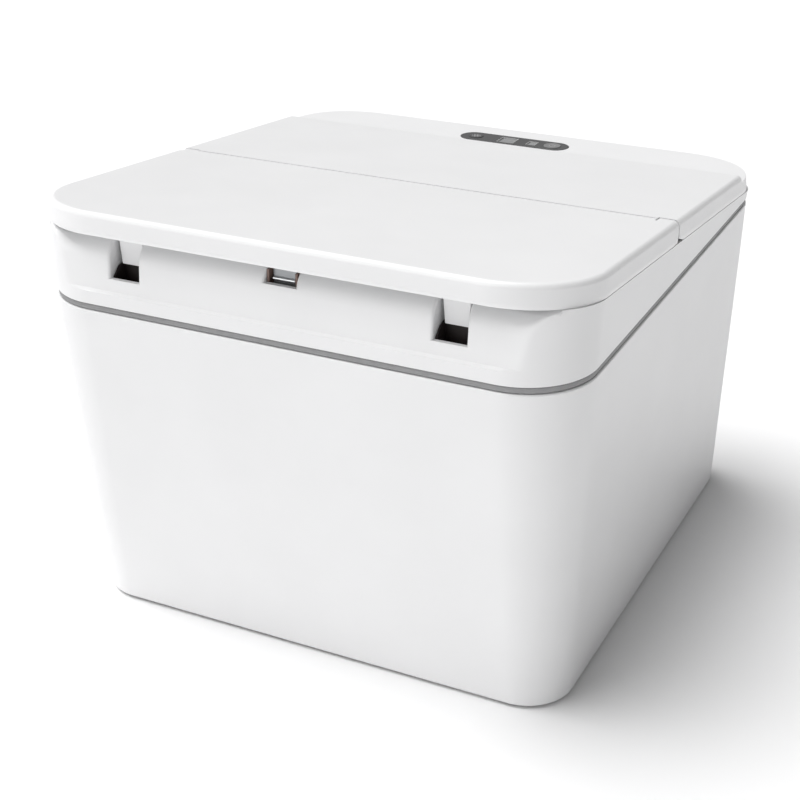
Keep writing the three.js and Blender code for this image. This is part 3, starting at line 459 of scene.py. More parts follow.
looks = {
    "white_shell": white, "black_rubber": black_rubber, "dark_rubber": dark_rubber,
    "charcoal_plastic": charcoal, "smoked_panel": smoked, "lens": lens, "key_plastic": key_face,
    "grey_plastic": grey, "brown_plastic": brown, "circuit": circuit, "steel": steel,
    "dark_steel": plate_steel, "aluminium": aluminium, "brass": brass, "nylon": nylon,
}
slot_of = {entry["node"]: entry["material_slot"] for entry in frame["record"]["subparts"]}
for node, thing in frame["nodes"].items():
    thing.data.materials.clear()
    thing.data.materials.append(looks[slot_of[node]])

# ------------------------------------------------------------------ tub

TUB_BOTTOM = 1.5
FOOT_FILLET = 3.0
RIM_ROUND = 1.3
TUB_WALL = 3.0
FIT = 0.3
COVER_CORNER = 12.0
COVER_RECESS = 2.4
INLET_WELL = 12.0


def tub_outline(z, inset):
    half = HALF - LEAN_SIDE * (RIM_FRONT - z) / RIM_FRONT
    lean = LEAN_FRONT * (RIM_FRONT - z) / RIM_FRONT
    radius = RIM_RADIUS - (RIM_RADIUS - FOOT_RADIUS) * (RIM_FRONT - z) / RIM_FRONT
    return outline(half - inset, lean + inset, BODY_DEPTH - inset, max(radius - inset, 3.0))


def tub():
    """One wall folded over at the rim, with wells at the rear for the cover and the inlet."""
    levels = []
    for i in range(6, -1, -1):
        turn = math.radians(90 * i / 6)
        z = TUB_BOTTOM + FOOT_FILLET * (1 - math.sin(turn))
        levels.append((tub_outline(z, FOOT_FILLET * (1 - math.cos(turn))), z))
    for z in (70.0, 150.0, 215.0):
        levels.append((tub_outline(z, 0.0), z))
    for i in range(6):
        turn = math.radians(90 * i / 5)
        inset = RIM_ROUND * (1 - math.cos(turn))
        drop = RIM_ROUND * (1 - math.sin(turn))
        levels.append((tub_outline(RIM_FRONT, inset), lambda y, d=drop: rim_at(y) - d))
    for inset, drop in ((9.4, 0.0), (10.0, 0.6), (10.0, 6.0), (3.4, 7.0)):
        levels.append((tub_outline(RIM_FRONT, inset), lambda y, d=drop: rim_at(y) - d))
    for z, inset in ((150.0, TUB_WALL), (8.0, TUB_WALL), (5.5, 2 * TUB_WALL)):
        levels.append((tub_outline(z, inset), z))
    shell = loft("tub_body", levels)
    _, cover_half, _, _, cover_low, cover_high = span("rear_service_cover")
    cover = outline(cover_half + FIT, cover_low - FIT, cover_high + FIT, COVER_CORNER, 8)
    x0, x1, _, _, z0, z1 = span("power_inlet")
    carve(shell, [
        prism("cut", cover, "y", BODY_DEPTH - COVER_RECESS, BODY_DEPTH + 5),
        block("cut", x0 - FIT, x1 + FIT, BODY_DEPTH - INLET_WELL, BODY_DEPTH + 5, z0 - FIT, z1 + FIT),
    ])
    soften(shell, 0.5, 2, 60)
    finish(shell, "cabinet", white, ["tub_shell"], 30)


def band():
    """The rubber strip between tub and head: a flat face with rounded lips, as inset and rise."""
    section = (
        (1.6, 0.35), (1.15, 0.75), (1.0, 1.6), (1.0, 3.2),
        (1.15, 4.05), (1.6, 4.45), (9.0, 4.45), (9.0, 0.35))
    levels = []
    for inset, rise in section:
        edge = outline(HALF - inset, inset, BODY_DEPTH - inset, RIM_RADIUS - inset)
        levels.append((edge, lambda y, r=rise: rim_at(y) + r))
    strip = loft("gasket_strip", levels, ring=True)
    finish(strip, "cabinet", dark_rubber, ["gasket_band"], 50)


tub()
band()

# ------------------------------------------------------------------ head

HEAD_STEPS = 32
HEAD_GAP = 0.12
LEDGE_FOOT = 264.1
LEDGE_TOP = 265.9
RECESS_DEPTH = 1.8
RECESS_BACK = 3.6
ROUND_START = 286.0
ROUND = 18.0
CREASE_BLEND = 1.2
FRONT_ZONE = 60.0
BASE_ROWS = (258.0, 261.5)
WALL_ROWS = (270.0, 276.0, 281.0, 284.5)


def wall_at(z):
    """How far back the recessed front wall stands at a height."""
    if z <= LEDGE_FOOT:
        return 0.0
    if z < LEDGE_TOP:
        return RECESS_DEPTH * (z - LEDGE_FOOT) / (LEDGE_TOP - LEDGE_FOOT)
    if z < ROUND_START:
        return RECESS_DEPTH + (RECESS_BACK - RECESS_DEPTH) * (z - LEDGE_TOP) / (ROUND_START - LEDGE_TOP)
    lift = min(z - ROUND_START, ROUND - 0.2)
    return RECESS_BACK + ROUND - math.sqrt(ROUND * ROUND - lift * lift)


def soft_max(a, b):
    """The larger of two values, with the crease where they meet rounded off."""
    blend = max(CREASE_BLEND - abs(a - b), 0.0) / CREASE_BLEND
    return max(a, b) + blend * blend * CREASE_BLEND / 4


def head_form():
    """The head's outside: rings from the band up to the lid, pushed back at the front by the recess."""
    low = outline(HALF, 0.0, BODY_DEPTH, RIM_RADIUS, HEAD_STEPS)
    high = outline(HALF + 1.4, -1.0, BODY_DEPTH - 0.4, RIM_RADIUS + 2.5, HEAD_STEPS)
    bottom_front = rim_at(0.0) + BAND
    top_front = parting_at(0.0) - HEAD_GAP
    heights = [bottom_front + 0.8, *BASE_ROWS]
    heights += [LEDGE_FOOT + (LEDGE_TOP - LEDGE_FOOT) * i / 8 for i in range(9)]
    heights += WALL_ROWS
    heights += [ROUND_START + ROUND * math.sin(math.radians(6 * i)) for i in range(1, 11)]
    heights = [z for z in heights if z < top_front - 1.0] + [top_front - 0.6, top_front]
    levels = []
    for inset, lift in ((0.8, 0.0), (0.25, 0.25)):
        rim = outline(HALF - inset, inset, BODY_DEPTH - inset, RIM_RADIUS - inset, HEAD_STEPS)
        levels.append([(x, y, rim_at(y) + BAND + lift) for x, y in rim])
    for height in heights:
        t = (height - bottom_front) / (top_front - bottom_front)
        levels.append([head_point(first, second, t) for first, second in zip(low, high)])
    return levels


def head_point(low, high, t):
    """A point between the head's lower and upper outlines. Height and recess depend on each other,
    so a few rounds settle them."""
    x = low[0] + (high[0] - low[0]) * t
    raw = low[1] + (high[1] - low[1]) * t
    y = raw
    for _ in range(4):
        bottom = rim_at(y) + BAND
        z = bottom + (parting_at(y) - HEAD_GAP - bottom) * t
        if y < FRONT_ZONE and z > LEDGE_FOOT:
            y = soft_max(raw, wall_at(z))
    return x, y, z


def stack(name, levels):
    """A closed surface through rings of points that already have their heights."""
    count = len(levels[0])
    points = [point for level in levels for point in level]
    faces = [tuple(reversed(range(count))), tuple(range((len(levels) - 1) * count, len(levels) * count))]
    for level in range(len(levels) - 1):
        for i in range(count):
            n = (i + 1) % count
            low = level * count
            faces.append((low + i, low + n, low + count + n, low + count + i))
    return mesh_object(name, points, faces)


MOUTH_ROUND = 2.2
MOUTH_ROWS = (278.0, 282.0, 286.0, 289.0, 292.0, 295.0, 297.5, 300.0, 302.0, 304.0, 320.0)


def slot_mouth(x, half, floor, rear):
    """A cutter for an open slot whose upright front edges are rounded, following the leaning wall."""
    ahead = -30.0
    wide = half + MOUTH_ROUND
    flare = wide + 3

    def edge(side, turn, z):
        return (
            x + side * wide + MOUTH_ROUND * math.cos(turn),
            wall_at(z) + MOUTH_ROUND + MOUTH_ROUND * math.sin(turn), z)

    levels = []
    for z in [floor] + [row for row in MOUTH_ROWS if row > floor]:
        wall = wall_at(z)
        level = [(x - flare, ahead, z), (x + flare, ahead, z), (x + flare, wall - 0.05, z)]
        level += [edge(1, math.radians(270 - 15 * i), z) for i in range(7)]
        level += [(x + half, rear, z), (x - half, rear, z)]
        level += [edge(-1, math.radians(-15 * i), z) for i in range(7)]
        level.append((x - flare, wall - 0.05, z))
        levels.append(level)
    return stack("cut", levels)


SLOT_X = 119.5
SLOT_HALF = 11.4
SLOT_FLOOR = 274.4
SLOT_REAR = 21.0
SLOT_LIP = 6.0
SLOT_WELL = 262.0
SLOT_DOOR_TOP = 290.0
CATCH_HALF = 11.5
CATCH_FRONT = 8.0
CATCH_REAR = 32.7
CATCH_FLOOR = 291.0
CATCH_WELL = 282.0
THROAT_HALF = 150.0
THROAT_FRONT = 43.0
THROAT_REAR = HINGE_Y - 12.0
THROAT_RADIUS = 24.0
HEAD_WALL = 3.0


def head_hollow():
    """The room inside the head, less the front wall, the throat's wall and the rear beam."""
    inside = outline(HALF - HEAD_WALL, HEAD_WALL, BODY_DEPTH - HEAD_WALL, RIM_RADIUS - HEAD_WALL)
    hollow = loft("cut", [
        (inside, lambda y: rim_at(y) - 20.0),
        (inside, lambda y: parting_at(y) - GAP - 3.6),
    ])
    throat_wall = outline(
        THROAT_HALF + HEAD_WALL, THROAT_FRONT - HEAD_WALL, THROAT_REAR + HEAD_WALL,
        THROAT_RADIUS + HEAD_WALL, 10)
    return carve(hollow, [
        prism("keep", throat_wall, "z", BELOW, FAR),
        block("keep", -FAR, FAR, AHEAD, 24.0, BELOW, FAR),
        block("keep", -FAR, FAR, HINGE_Y + 6.0, BEHIND, BELOW, FAR),
    ])


def head():
    shell = stack("head_shell", head_form())
    throat = outline(THROAT_HALF, THROAT_FRONT, THROAT_REAR, THROAT_RADIUS, 10)
    machine_bay = outline(HALF - 9.0, HINGE_Y + 9.0, BODY_DEPTH - 9.0, 36.0, 10)
    cutters = [prism("cut", throat, "z", BELOW, FAR), prism("cut", machine_bay, "z", BELOW, FAR)]
    cutters.append(head_hollow())
    for side in (-1, 1):
        x0 = side * SLOT_X - SLOT_HALF
        x1 = side * SLOT_X + SLOT_HALF
        cutters.append(slot_mouth(side * SLOT_X, SLOT_HALF, SLOT_FLOOR, SLOT_REAR))
        cutters.append(block("cut", x0, x1, SLOT_LIP, SLOT_REAR, SLOT_WELL, SLOT_FLOOR + 1))
        cutters.append(block(
            "cut", x0 + 1.9, x1 - 1.9, SLOT_REAR - 1, SLOT_REAR + 5, SLOT_FLOOR, SLOT_DOOR_TOP))
    cutters.append(slot_mouth(0.0, CATCH_HALF, CATCH_FLOOR, CATCH_FRONT + 1.0))
    cutters.append(block("cut", -CATCH_HALF, CATCH_HALF, CATCH_FRONT, CATCH_REAR, CATCH_WELL, FAR))
    carve(shell, cutters)
    soften(shell, 0.45, 2, 45)
    finish(shell, "cabinet", white, ["head_frame"], 35)


def pocket(name, x):
    """A dark sheet in the well behind a slot's lip, with cheeks that slope up to the rear: painted shade,
    its dark brown standing in for the shadow inside the slot.
    """
    half = SLOT_HALF - 0.25
    wall = 1.1
    back = 1.6
    front = SLOT_LIP + FIT
    rear = SLOT_REAR - FIT
    floor = SLOT_WELL + FIT
    profile = [(front, floor), (rear, floor), (rear, 283.0), (12.5, 281.0), (front, SLOT_FLOOR + 0.8)]
    shade_sheet = prism(name, profile, "x", x - half, x + half)
    room = block(
        "cut", x - half + wall, x + half - wall, 0.0, SLOT_REAR - back, SLOT_WELL + back, 300.0)
    carve(shade_sheet, [room])
    soften(shade_sheet, 0.25, 1, 40)
    finish(shade_sheet, "cabinet", slot_shade_dark)


head()
# dark sheets in the side slots' wells, as painted shade
pocket("slot_lining_left", -SLOT_X)
pocket("slot_lining_right", SLOT_X)

# ------------------------------------------------------------------ lid and deck

LID_OVERHANG = 4.2
LID_BULGE = 1.8
LID_RADIUS = 61.0
SHELL = 3.0
SIDE_DRAFT = 0.2
SIDE_REAR = 4.5
TOP_ROUND = 4.0
TOP_ROUND_START = 14.0
POST_INNER = 186.8
POST_OUTER = 201.2
POST_HALF = 4.3
LID_RELIEF = 12.5
RELIEF_LENGTH = 14.0
RELIEF_TALL = 4.3


def lid_level(inset, rear_inset):
    half = HALF + LID_BULGE - inset
    return outline(half, -LID_OVERHANG + inset, BODY_DEPTH - rear_inset, LID_RADIUS - inset)


def upper_form(name):
    """Lid and deck in one: a narrower foot, a nearly upright side and a round at the top."""
    rise = TOP - PARTING
    levels = [
        (outline(HALF + 1.1, -2.4, BODY_DEPTH - 0.5, LID_RADIUS - 4.0), parting_at),
        (outline(HALF + 1.3, -2.9, BODY_DEPTH - 0.4, LID_RADIUS - 3.0), lambda y: parting_at(y) + 0.5),
        (lid_level(0.2, 0.8), lambda y: parting_at(y) + 2.2),
        (lid_level(0.0, 1.0), lambda y: parting_at(y) + rise * 0.25),
        (lid_level(0.35, 1.6), lambda y: parting_at(y) + rise * 0.4),
        (lid_level(SIDE_DRAFT, SIDE_REAR), lambda y: top_at(y) - TOP_ROUND),
    ]
    start = math.radians(TOP_ROUND_START)
    steps = 7
    for i in range(1, steps + 1):
        turn = math.radians(TOP_ROUND_START + (90 - TOP_ROUND_START) * i / steps)
        inset = SIDE_DRAFT + TOP_ROUND * (math.cos(start) - math.cos(turn))
        drop = TOP_ROUND * (1 - (math.sin(turn) - math.sin(start)) / (1 - math.sin(start)))
        rear_inset = SIDE_REAR + 2.2 * (inset - SIDE_DRAFT)
        levels.append((lid_level(inset, rear_inset), lambda y, d=drop: top_at(y) - d))
    return loft(name, levels)


def bracket_notches(front, rear):
    """Cutters for the hinge posts' room at both ends of the seam."""
    inner = span("hinge_bracket_right")[0] - GAP
    return [
        block("cut", inner, FAR, front, rear, BELOW, FAR),
        block("cut", -FAR, -inner, front, rear, BELOW, FAR),
    ]


def lid():
    rear = HINGE_Y + NOSE
    foot_height = parting_at(rear)
    nose = arc(HINGE_Y, HINGE_Z, NOSE, 0, 80, 10)
    profile = [(AHEAD, BELOW), (rear - LID_RELIEF, BELOW), (rear - LID_RELIEF, foot_height + 0.4)]
    profile += [(rear, foot_height + 2.0)] + nose + [(nose[-1][0], FAR), (AHEAD, FAR)]
    shell = upper_form("lid_panel")
    combine(shell, [prism("keep", profile, "x", -FAR, FAR)], "INTERSECT")
    hollow = loft("cut", [
        (lid_level(SHELL, SHELL), lambda y: parting_at(y) - 20.0),
        (lid_level(SHELL, SHELL), lambda y: top_at(y) - SHELL),
    ])
    carve(hollow, [block("cut", -FAR, FAR, HINGE_Y - 6.0, BEHIND, BELOW, FAR)])
    carve(shell, [hollow] + bracket_notches(HINGE_Y - POST_HALF - GAP, FAR))
    soften(shell, 0.45, 2, 45)
    finish(shell, "lid", white, ["lid_shell"], 30)


def pill(inset):
    """The control strip's outline: a bar with half-round ends."""
    radius = STRIP_WIDTH / 2 - inset
    reach = (STRIP_LENGTH - STRIP_WIDTH) / 2
    steps = 24
    points = []
    for cx, start in ((reach, -90), (-reach, 90)):
        for i in range(steps + 1):
            turn = math.radians(start + 180 * i / steps)
            points.append((cx + radius * math.cos(turn), PANEL_Y + radius * math.sin(turn)))
    return points


def deck_hollow(rear, top):
    """The room under part of the deck, from the seam to a rear limit."""
    inside = outline(HALF + LID_BULGE - SHELL, 0.0, BODY_DEPTH - 14.0, LID_RADIUS - SHELL)
    room = loft("cut", [(inside, lambda y: parting_at(y) - 20.0), (inside, top)])
    return combine(room, [block("keep", -FAR, FAR, SEAM_REAR + SHELL, rear, BELOW, FAR)], "INTERSECT")


def deck_relief():
    """The small wedge cut away below the deck's front corners, beside the hinge posts."""
    end = SEAM_REAR + RELIEF_LENGTH
    relief = prism("cut", [
        (SEAM_REAR - 1, parting_at(SEAM_REAR) + RELIEF_TALL), (SEAM_REAR - 1, BELOW), (end, BELOW),
        (end, parting_at(end)),
    ], "x", -FAR, FAR)
    inner = span("hinge_bracket_right")[0] + 8.0
    return carve(relief, [block("keep", -inner, inner, 0.0, BEHIND, 100.0, 500.0)])


def deck():
    shell = upper_form("deck_panel")
    cutters = [
        block("cut", -FAR, FAR, AHEAD, SEAM_REAR, BELOW, FAR),
        block("cut", -FAR, FAR, RIDGE_Y, BEHIND, SHELF, FAR),
        deck_hollow(RIDGE_Y - SHELL, lambda y: top_at(y) - SHELL),
        deck_hollow(BODY_DEPTH, SHELF - 4.0),
        prism("cut", pill(-0.3), "z", SHELF - 60.0, SHELF + 60.0),
        deck_relief(),
    ]
    carve(shell, cutters + bracket_notches(0.0, HINGE_Y + POST_HALF + GAP))
    soften(shell, 0.45, 2, 45)
    finish(shell, "cabinet", white, ["deck_cover"], 30)


lid()
deck()

# ------------------------------------------------------------------ hinge posts, hooks and catch

bodies = {node: thing.parent.name.split(":")[1] for node, thing in frame["nodes"].items()}


def copy_of(node, name):
    piece = new_object(name, frame["nodes"][node].data.copy())
    weld(piece, 2e-6)
    return piece


def dressed(node, width=0.4, segments=2, above=35.0, material=None, extra=None, cuts=None):
    """A CAD node's shape with softened edges, and pieces joined to it or cut from it."""
    piece = copy_of(node, node + "_fine")
    if cuts:
        carve(piece, cuts)
    if extra:
        combine(piece, extra, "UNION")
    soften(piece, width, segments, above)
    finish(piece, bodies[node], material or looks[slot_of[node]], [node])


def bracket(side, name, node):
    """A hinge post whose outer top edge is rounded, as trims of its outer face and heights."""
    y0, y1 = HINGE_Y - POST_HALF, HINGE_Y + POST_HALF

    def level(trim, height, inset=0.0):
        x0, x1 = (POST_INNER, POST_OUTER - trim) if side > 0 else (-POST_OUTER + trim, -POST_INNER)
        return rounded(x0 + inset, x1 - inset, y0 + inset, y1 - inset, 0.7), height

    levels = [level(0.4, lambda y: parting_at(y) - 0.3), level(0.0, lambda y: parting_at(y) + 5.0)]
    for trim, drop in ((0.0, 7.0), (0.2, 4.0), (0.8, 2.4), (1.8, 1.3), (3.2, 0.6)):
        levels.append(level(trim, lambda y, d=drop: top_at(y) - d))
    levels.append(level(4.2, lambda y: top_at(y) - 0.4, 0.3))
    finish(loft(name, levels), "cabinet", white, [node], 40)


def striker():
    plate = copy_of("lid_striker", "lid_striker_plate")
    soften(plate, 0.25, 2, 40)
    finish(plate, "lid", plate_steel, ["lid_striker"])
    reach, radius, edge = 8.2, 1.5, 0.3
    profile = [
        (0.0, -reach), (radius - edge, -reach), (radius, -reach + edge),
        (radius, reach - edge), (radius - edge, reach), (0.0, reach)]
    bar = lathe("lid_striker_bar", profile, "x", STRIKER_Y, STRIKER_Z, 24)
    finish(bar, "lid", steel)


bracket(-1, "hinge_post_left", "hinge_bracket_left")
bracket(1, "hinge_post_right", "hinge_bracket_right")
for node in ("lid_hook_left", "lid_hook_right"):
    dressed(node, 0.9, 3, 40, white)
dressed("catch_housing", 0.3)
striker()

# ------------------------------------------------------------------ control strip

KEY_GAP = 0.2
PANE_GAP = 0.05
TRAY_WALL = 0.6
MARK_HEIGHT = 0.16


def strip_panel():
    levels = [(pill(0.15), 283.1), (pill(0.0), 283.4)]
    for inset, drop in ((0.0, 0.7), (0.2, 0.25), (0.55, 0.05), (0.9, 0.0)):
        levels.append((pill(inset), PANEL_TOP - drop))
    panel = loft("control_strip", levels)
    cutters = []
    for node in ("display_window", "status_window"):
        x0, x1, y0, y1, _, _ = span(node)
        cutters.append(block("cut", x0, x1, y0, y1, 270.0, 300.0))
    for node in ("light_key", "power_button"):
        x0, x1, _, _, _, _ = span(node)
        hole = circle((x0 + x1) / 2, PANEL_Y, (x1 - x0) / 2 + KEY_GAP, 40)
        cutters.append(prism("cut", hole, "z", 270.0, 300.0))
    carve(panel, cutters)
    soften(panel, 0.12, 1, 50)
    finish(panel, "cabinet", smoked, ["panel_bezel"])


def window(node, depth):
    """A tray with upright sides and a pane at its bottom."""
    x0, x1, y0, y1, z0, _ = span(node)
    x0, x1, y0, y1 = x0 + PANE_GAP, x1 - PANE_GAP, y0 + PANE_GAP, y1 - PANE_GAP
    top = PANEL_TOP - PANE_GAP
    floor = top - depth
    tray = block(node + "_tray", x0, x1, y0, y1, z0, top)
    carve(tray, [block(
        "cut", x0 + TRAY_WALL, x1 - TRAY_WALL, y0 + TRAY_WALL, y1 - TRAY_WALL, floor, top + 5)])
    soften(tray, 0.15, 2, 40)
    finish(tray, "cabinet", tray_grey, [node])

    def level(inset, rise):
        inset += TRAY_WALL
        return rounded(x0 + inset, x1 - inset, y0 + inset, y1 - inset, 0.3), floor + rise

    pane = loft(node + "_pane", [level(PANE_GAP, 0.0), level(PANE_GAP, 0.3), level(0.25, 0.4)])
    finish(pane, "cabinet", lens)


def key_cap(node, name, body, material, dish):
    """A round key with a shallow dish. Gives the middle's x and the height of the dish's bottom."""
    x0, x1, _, _, z0, z1 = span(node)
    x = (x0 + x1) / 2
    radius = (x1 - x0) / 2
    inner = radius - 0.9
    brim = z1 - 0.06
    profile = [(0.0, z0), (radius - 0.3, z0), (radius, z0 + 0.3), (radius, z1 - 0.4)]
    profile += [(radius - 0.15, z1 - 0.1), (radius - 0.5, z1), (inner, brim)]
    for i in range(1, 7):
        r = inner * (1 - i / 6)
        profile.append((r, brim - dish * (1 - (r / inner) ** 2)))
    finish(lathe(name, profile, "z", x, PANEL_Y, 56), body, material, [node])
    return x, brim - dish


def marks(name, body, shapes, base):
    """Thin raised printed shapes, each a closed outline."""
    points = []
    faces = []
    for shape in shapes:
        start = len(points)
        count = len(shape)
        points += [(x, y, base) for x, y in shape] + [(x, y, base + MARK_HEIGHT) for x, y in shape]
        faces.append(tuple(reversed(range(start, start + count))))
        faces.append(tuple(range(start + count, start + 2 * count)))
        for i in range(count):
            n = (i + 1) % count
            faces.append((start + i, start + n, start + count + n, start + count + i))
    finish(mesh_object(name, points, faces), body, mark)


def arc_band(x, y, inner, outer, first, last, steps):
    outside = []
    inside = []
    for i in range(steps + 1):
        turn = math.radians(first + (last - first) * i / steps)
        outside.append((x + outer * math.cos(turn), y + outer * math.sin(turn)))
        inside.append((x + inner * math.cos(turn), y + inner * math.sin(turn)))
    return outside + inside[::-1]


def sun_mark(x, y, height):
    """A ring in two halves with eight rays."""
    shapes = [arc_band(x, y, 1.2, 1.95, 0, 178, 10), arc_band(x, y, 1.2, 1.95, 180, 358, 10)]
    wide = 0.38
    near, far = 2.7, 4.1
    for i in range(8):
        turn = math.pi * i / 4
        ux, uy = math.cos(turn), math.sin(turn)
        shapes.append([
            (x + near * ux + wide * uy, y + near * uy - wide * ux),
            (x + far * ux + wide * uy, y + far * uy - wide * ux),
            (x + far * ux - wide * uy, y + far * uy + wide * ux),
            (x + near * ux - wide * uy, y + near * uy + wide * ux),
        ])
    marks("light_key_mark", "lamp_key", shapes, height)


def power_mark(x, y, height):
    """An open ring with a short bar at the opening."""
    half = 0.28
    low, high = y + 0.6, y + 3.2
    stroke = [(x - half, low), (x + half, low), (x + half, high), (x - half, high)]
    marks("power_key_mark", "power_key", [arc_band(x, y, 2.2, 2.7, 120, 420, 20), stroke], height)


strip_panel()
window("display_window", 1.5)
window("status_window", 1.3)
lamp_x, lamp_z = key_cap("light_key", "light_key_cap", "lamp_key", dark_key, 0.12)
sun_mark(lamp_x, PANEL_Y, lamp_z)
power_x, power_z = key_cap("power_button", "power_key_cap", "power_key", key_face, 0.35)
power_mark(power_x, PANEL_Y, power_z)

# ------------------------------------------------------------------ feet and rear wall

COVER_SLOT_X = 52.0
COVER_SLOT_REACH = 34.0
COVER_SLOT_HALF = 1.6
COVER_SLOT_START = 120.0
COVER_SLOT_PITCH = 8.0
COVER_SLOT_ROWS = 7
CROSS_REACH = 1.9
CROSS_HALF = 0.35
CROSS_DEPTH = 1.1


def foot(node):
    x0, x1, y0, y1, _, _ = span(node)
    profile = [
        (0.0, 0.7), (7.4, 0.7), (8.0, 0.1), (8.4, 0.0), (11.0, 0.0), (11.6, 0.25), (12.0, 0.9), (12.0, 2.4),
        (11.7, 2.8), (11.2, 3.0), (0.0, 3.0)]
    pad = lathe(node + "_pad", profile, "z", (x0 + x1) / 2, (y0 + y1) / 2, 48)
    finish(pad, "cabinet", black_rubber, [node])


def service_cover():
    """The rear cover with two columns of shallow louvre slots."""
    slots = []
    for row in range(COVER_SLOT_ROWS):
        z = COVER_SLOT_START + COVER_SLOT_PITCH * row
        for x in (-COVER_SLOT_X, COVER_SLOT_X):
            slot = rounded(
                x - COVER_SLOT_REACH, x + COVER_SLOT_REACH, z - COVER_SLOT_HALF, z + COVER_SLOT_HALF, 1.5)
            slots.append(prism("cut", slot, "y", BODY_DEPTH - 0.9, BODY_DEPTH + 4.0))
    dressed("rear_service_cover", 0.4, 2, 35, white, cuts=slots)


def cover_screw(number):
    """A domed screw with a cross recess."""
    node = "cover_screw_%d" % number
    x0, x1, _, rear, z0, z1 = span(node)
    x = (x0 + x1) / 2
    z = (z0 + z1) / 2
    profile = [
        (0.0, rear - 9.0), (1.6, rear - 9.0), (1.6, rear - 2.1), (2.4, rear - 1.4), (3.3, rear - 1.2),
        (3.4, rear - 0.9), (3.0, rear - 0.4), (2.2, rear - 0.12), (1.2, rear), (0.0, rear)]
    screw = lathe("cover_screw_head_%d" % number, profile, "y", x, z, 32)
    cuts = []
    for across, along in ((CROSS_HALF, CROSS_REACH), (CROSS_REACH, CROSS_HALF)):
        cuts.append(block("cut", x - across, x + across, rear - CROSS_DEPTH, rear + 1, z - along, z + along))
    carve(screw, cuts)
    finish(screw, "cabinet", steel, [node])


for number in (1, 2, 3, 4):
    foot("foot_%d" % number)
service_cover()
for number in (1, 2, 3, 4):
    cover_screw(number)
dressed("power_inlet", 0.5, 2)

# ------------------------------------------------------------------ under the lid


def lid_gasket():
    """A soft round bulb that follows the throat under the lid."""
    steps = 12
    middle = 1.38
    levels = []
    for i in range(steps):
        turn = 2 * math.pi * i / steps
        across = 2.3 * math.cos(turn)
        rise = 1.45 * math.sin(turn)
        levels.append((
            outline(157.2 - across, 38.8 + across, 188.2 - across, 28.0 - across, steps),
            lambda y, r=rise: parting_at(y) + middle + r))
    bulb = loft("lid_gasket_bulb", levels, ring=True)
    finish(bulb, "lid", dark_rubber, ["lid_gasket"], 60)


def lid_liner():
    """The lid's inner tray with raised ribs across and along."""
    edge = lid_level(3.4, 3.8)
    plate = loft("lid_liner_tray", [
        (edge, lambda y: parting_at(y) + 3.0),
        (edge, lambda y: parting_at(y) + 5.0),
    ])
    carve(plate, [block("cut", -FAR, FAR, HINGE_Y - 6.4, BEHIND, 100.0, FAR)])

    def rib(x0, x1, y0, y1):
        foot_print = rounded(x0, x1, y0, y1, 0.9)
        return loft("rib", [
            (foot_print, lambda y: parting_at(y) + 1.4),
            (foot_print, lambda y: parting_at(y) + 3.6),
        ])

    ribs = [rib(x - 1.2, x + 1.2, 56.0, 172.0) for x in (-120.0, -80.0, 80.0, 120.0)]
    ribs += [rib(-140.0, 140.0, y, y + 2.4) for y in (150.0, 66.0)]
    combine(plate, ribs, "UNION")
    soften(plate, 0.4, 2, 40)
    finish(plate, "lid", grey, ["lid_liner"])


lid_gasket()
lid_liner()
dressed("deodoriser_tray", 0.5)
dressed("bag_ring", 0.5)

# ------------------------------------------------------------------ bin, press and drive

RIB_HALF = 1.5
RAM_RIB_FRONT = 197.6
RAM_RIB_REAR = 199.5


def bin_liner():
    ribs = []
    for x in (-110.0, -55.0, 0.0, 55.0, 110.0):
        ribs.append(prism("rib", rounded(x - RIB_HALF, x + RIB_HALF, 46.0, 48.6, 1.0), "z", 9.0, 236.0))
    dressed("inner_bin", 0.6, 2, 35, extra=ribs)


def ram():
    """The press plate with a grid of ribs on its rear."""
    ribs = []
    for x in (-120.0, -60.0, 0.0, 60.0, 120.0):
        ribs.append(block("rib", x - RIB_HALF, x + RIB_HALF, RAM_RIB_FRONT, RAM_RIB_REAR, 24.0, 224.0))
    for z in (60.0, 120.0, 180.0):
        ribs.append(block("rib", -146.0, 146.0, RAM_RIB_FRONT, RAM_RIB_REAR, z - RIB_HALF, z + RIB_HALF))
    grid = combine(ribs[0], ribs[1:], "UNION")
    dressed("ram_plate", 0.6, 2, 35, extra=[grid])


THREAD_CREST = 7.5
THREAD_ROOT = 6.5
THREAD_FIRST = 232.0
THREAD_LAST = 391.0
THREAD_LEAD = 20.0
THREAD_STARTS = 4
THREAD_AROUND = 48


def thread_radius(turn, y):
    """The lead screw's radius: a trapezoid wave that winds along the screw."""
    wave = math.cos(THREAD_STARTS * (turn - 2 * math.pi * y / THREAD_LEAD))
    return THREAD_ROOT + (THREAD_CREST - THREAD_ROOT) * min(max(0.5 + 0.9 * wave, 0.0), 1.0)


def screw_thread():
    """The lead screw with a four-start trapezoid thread and plain journals."""
    _, _, y0, y1, _, _ = span("lead_screw")
    turns = [2 * math.pi * i / THREAD_AROUND for i in range(THREAD_AROUND)]
    front = ((4.0, y0), (4.2, y0 + 0.3), (4.2, 226.0), (THREAD_ROOT, 226.0), (THREAD_ROOT, THREAD_FIRST))
    rear = ((THREAD_ROOT, THREAD_LAST), (THREAD_ROOT, 393.0), (5.6, 393.4), (5.6, y1 - 0.4), (5.2, y1))
    rings = [([radius] * THREAD_AROUND, y) for radius, y in front]
    steps = int(THREAD_LAST - THREAD_FIRST)
    for step in range(steps + 1):
        y = THREAD_FIRST + 0.2 + step * (THREAD_LAST - THREAD_FIRST - 0.4) / steps
        rings.append(([thread_radius(turn, y) for turn in turns], y))
    rings += [([radius] * THREAD_AROUND, y) for radius, y in rear]
    levels = []
    for radii, y in rings:
        levels.append([
            (radius * math.cos(turn), y, DRIVE_Z + radius * math.sin(turn))
            for radius, turn in zip(radii, turns)])
    finish(stack("lead_screw_thread", levels), "screw", steel, ["lead_screw"], 50)


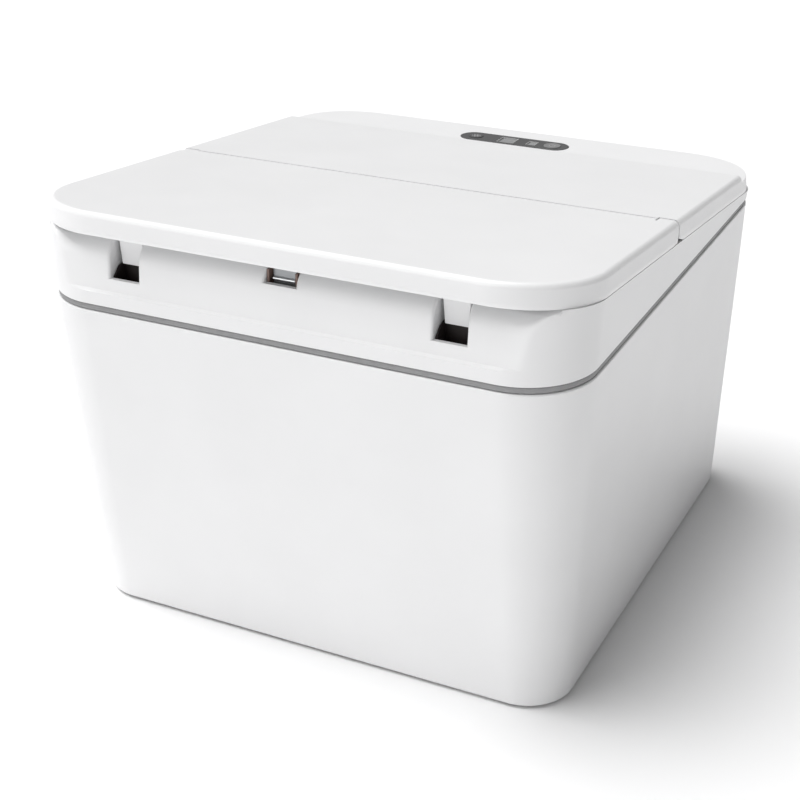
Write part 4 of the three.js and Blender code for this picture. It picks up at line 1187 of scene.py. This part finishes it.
bin_liner()
ram()
for node in (
        "lock_bar", "lock_actuator", "lid_switch", "park_switch", "crosshead", "gear_plate",
        "motor_gearbox", "drive_motor", "power_supply", "control_board", "bulkhead",
        "rod_bush_left", "rod_bush_right"):
    dressed(node, 0.35, 2, 38)
screw_thread()

# the CAD nodes' own faces are shaded smooth up to their sharp edges
for thing in frame["nodes"].values():
    thing.data.polygons.foreach_set("use_smooth", [True] * len(thing.data.polygons))
    thing.data.set_sharp_from_angle(angle=math.radians(30))

# ------------------------------------------------------------------ floor and light

FLOOR = 14.0
floor_mesh = bpy.data.meshes.new("floor")
floor_mesh.from_pydata(
    [(-FLOOR, -FLOOR, 0), (FLOOR, -FLOOR, 0), (FLOOR, FLOOR, 0), (-FLOOR, FLOOR, 0)], [], [(0, 1, 2, 3)])
floor = new_object("floor", floor_mesh)
floor_look, floor_tree, floor_shader = material_base("floor_paper")
floor_tree.links.new(
    ramp(floor_tree, noise(floor_tree, 2.0), (0.955, 0.955, 0.96), (0.965, 0.965, 0.965)),
    floor_shader.inputs["Base Color"])
floor_shader.inputs["Roughness"].default_value = 0.9
floor_shader.inputs["Specular IOR Level"].default_value = 0.1
floor_mesh.materials.append(floor_look)

world = bpy.data.worlds.new("studio")
bpy.context.scene.world = world
world.use_nodes = True
world.node_tree.nodes["Background"].inputs["Color"].default_value = (1.0, 1.0, 1.0, 1.0)
world.node_tree.nodes["Background"].inputs["Strength"].default_value = 0.24


def studio_sun(name, towards, strength, angle):
    """A far, wide, soft light. It shines from the direction given, and its disc is the angle wide."""
    data = bpy.data.lights.new(name, "SUN")
    data.energy = strength
    data.angle = math.radians(angle)
    lamp = bpy.data.objects.new(name, data)
    bpy.context.scene.collection.objects.link(lamp)
    lamp.rotation_euler = Vector(towards).to_track_quat("Z", "Y").to_euler()


studio_sun("key_light", (-0.36, -0.08, 0.92), 3.0, 44.0)
studio_sun("front_fill", (-0.38, -0.9, 0.13), 0.85, 36.0)

bpy.context.scene.view_settings.view_transform = "Standard"
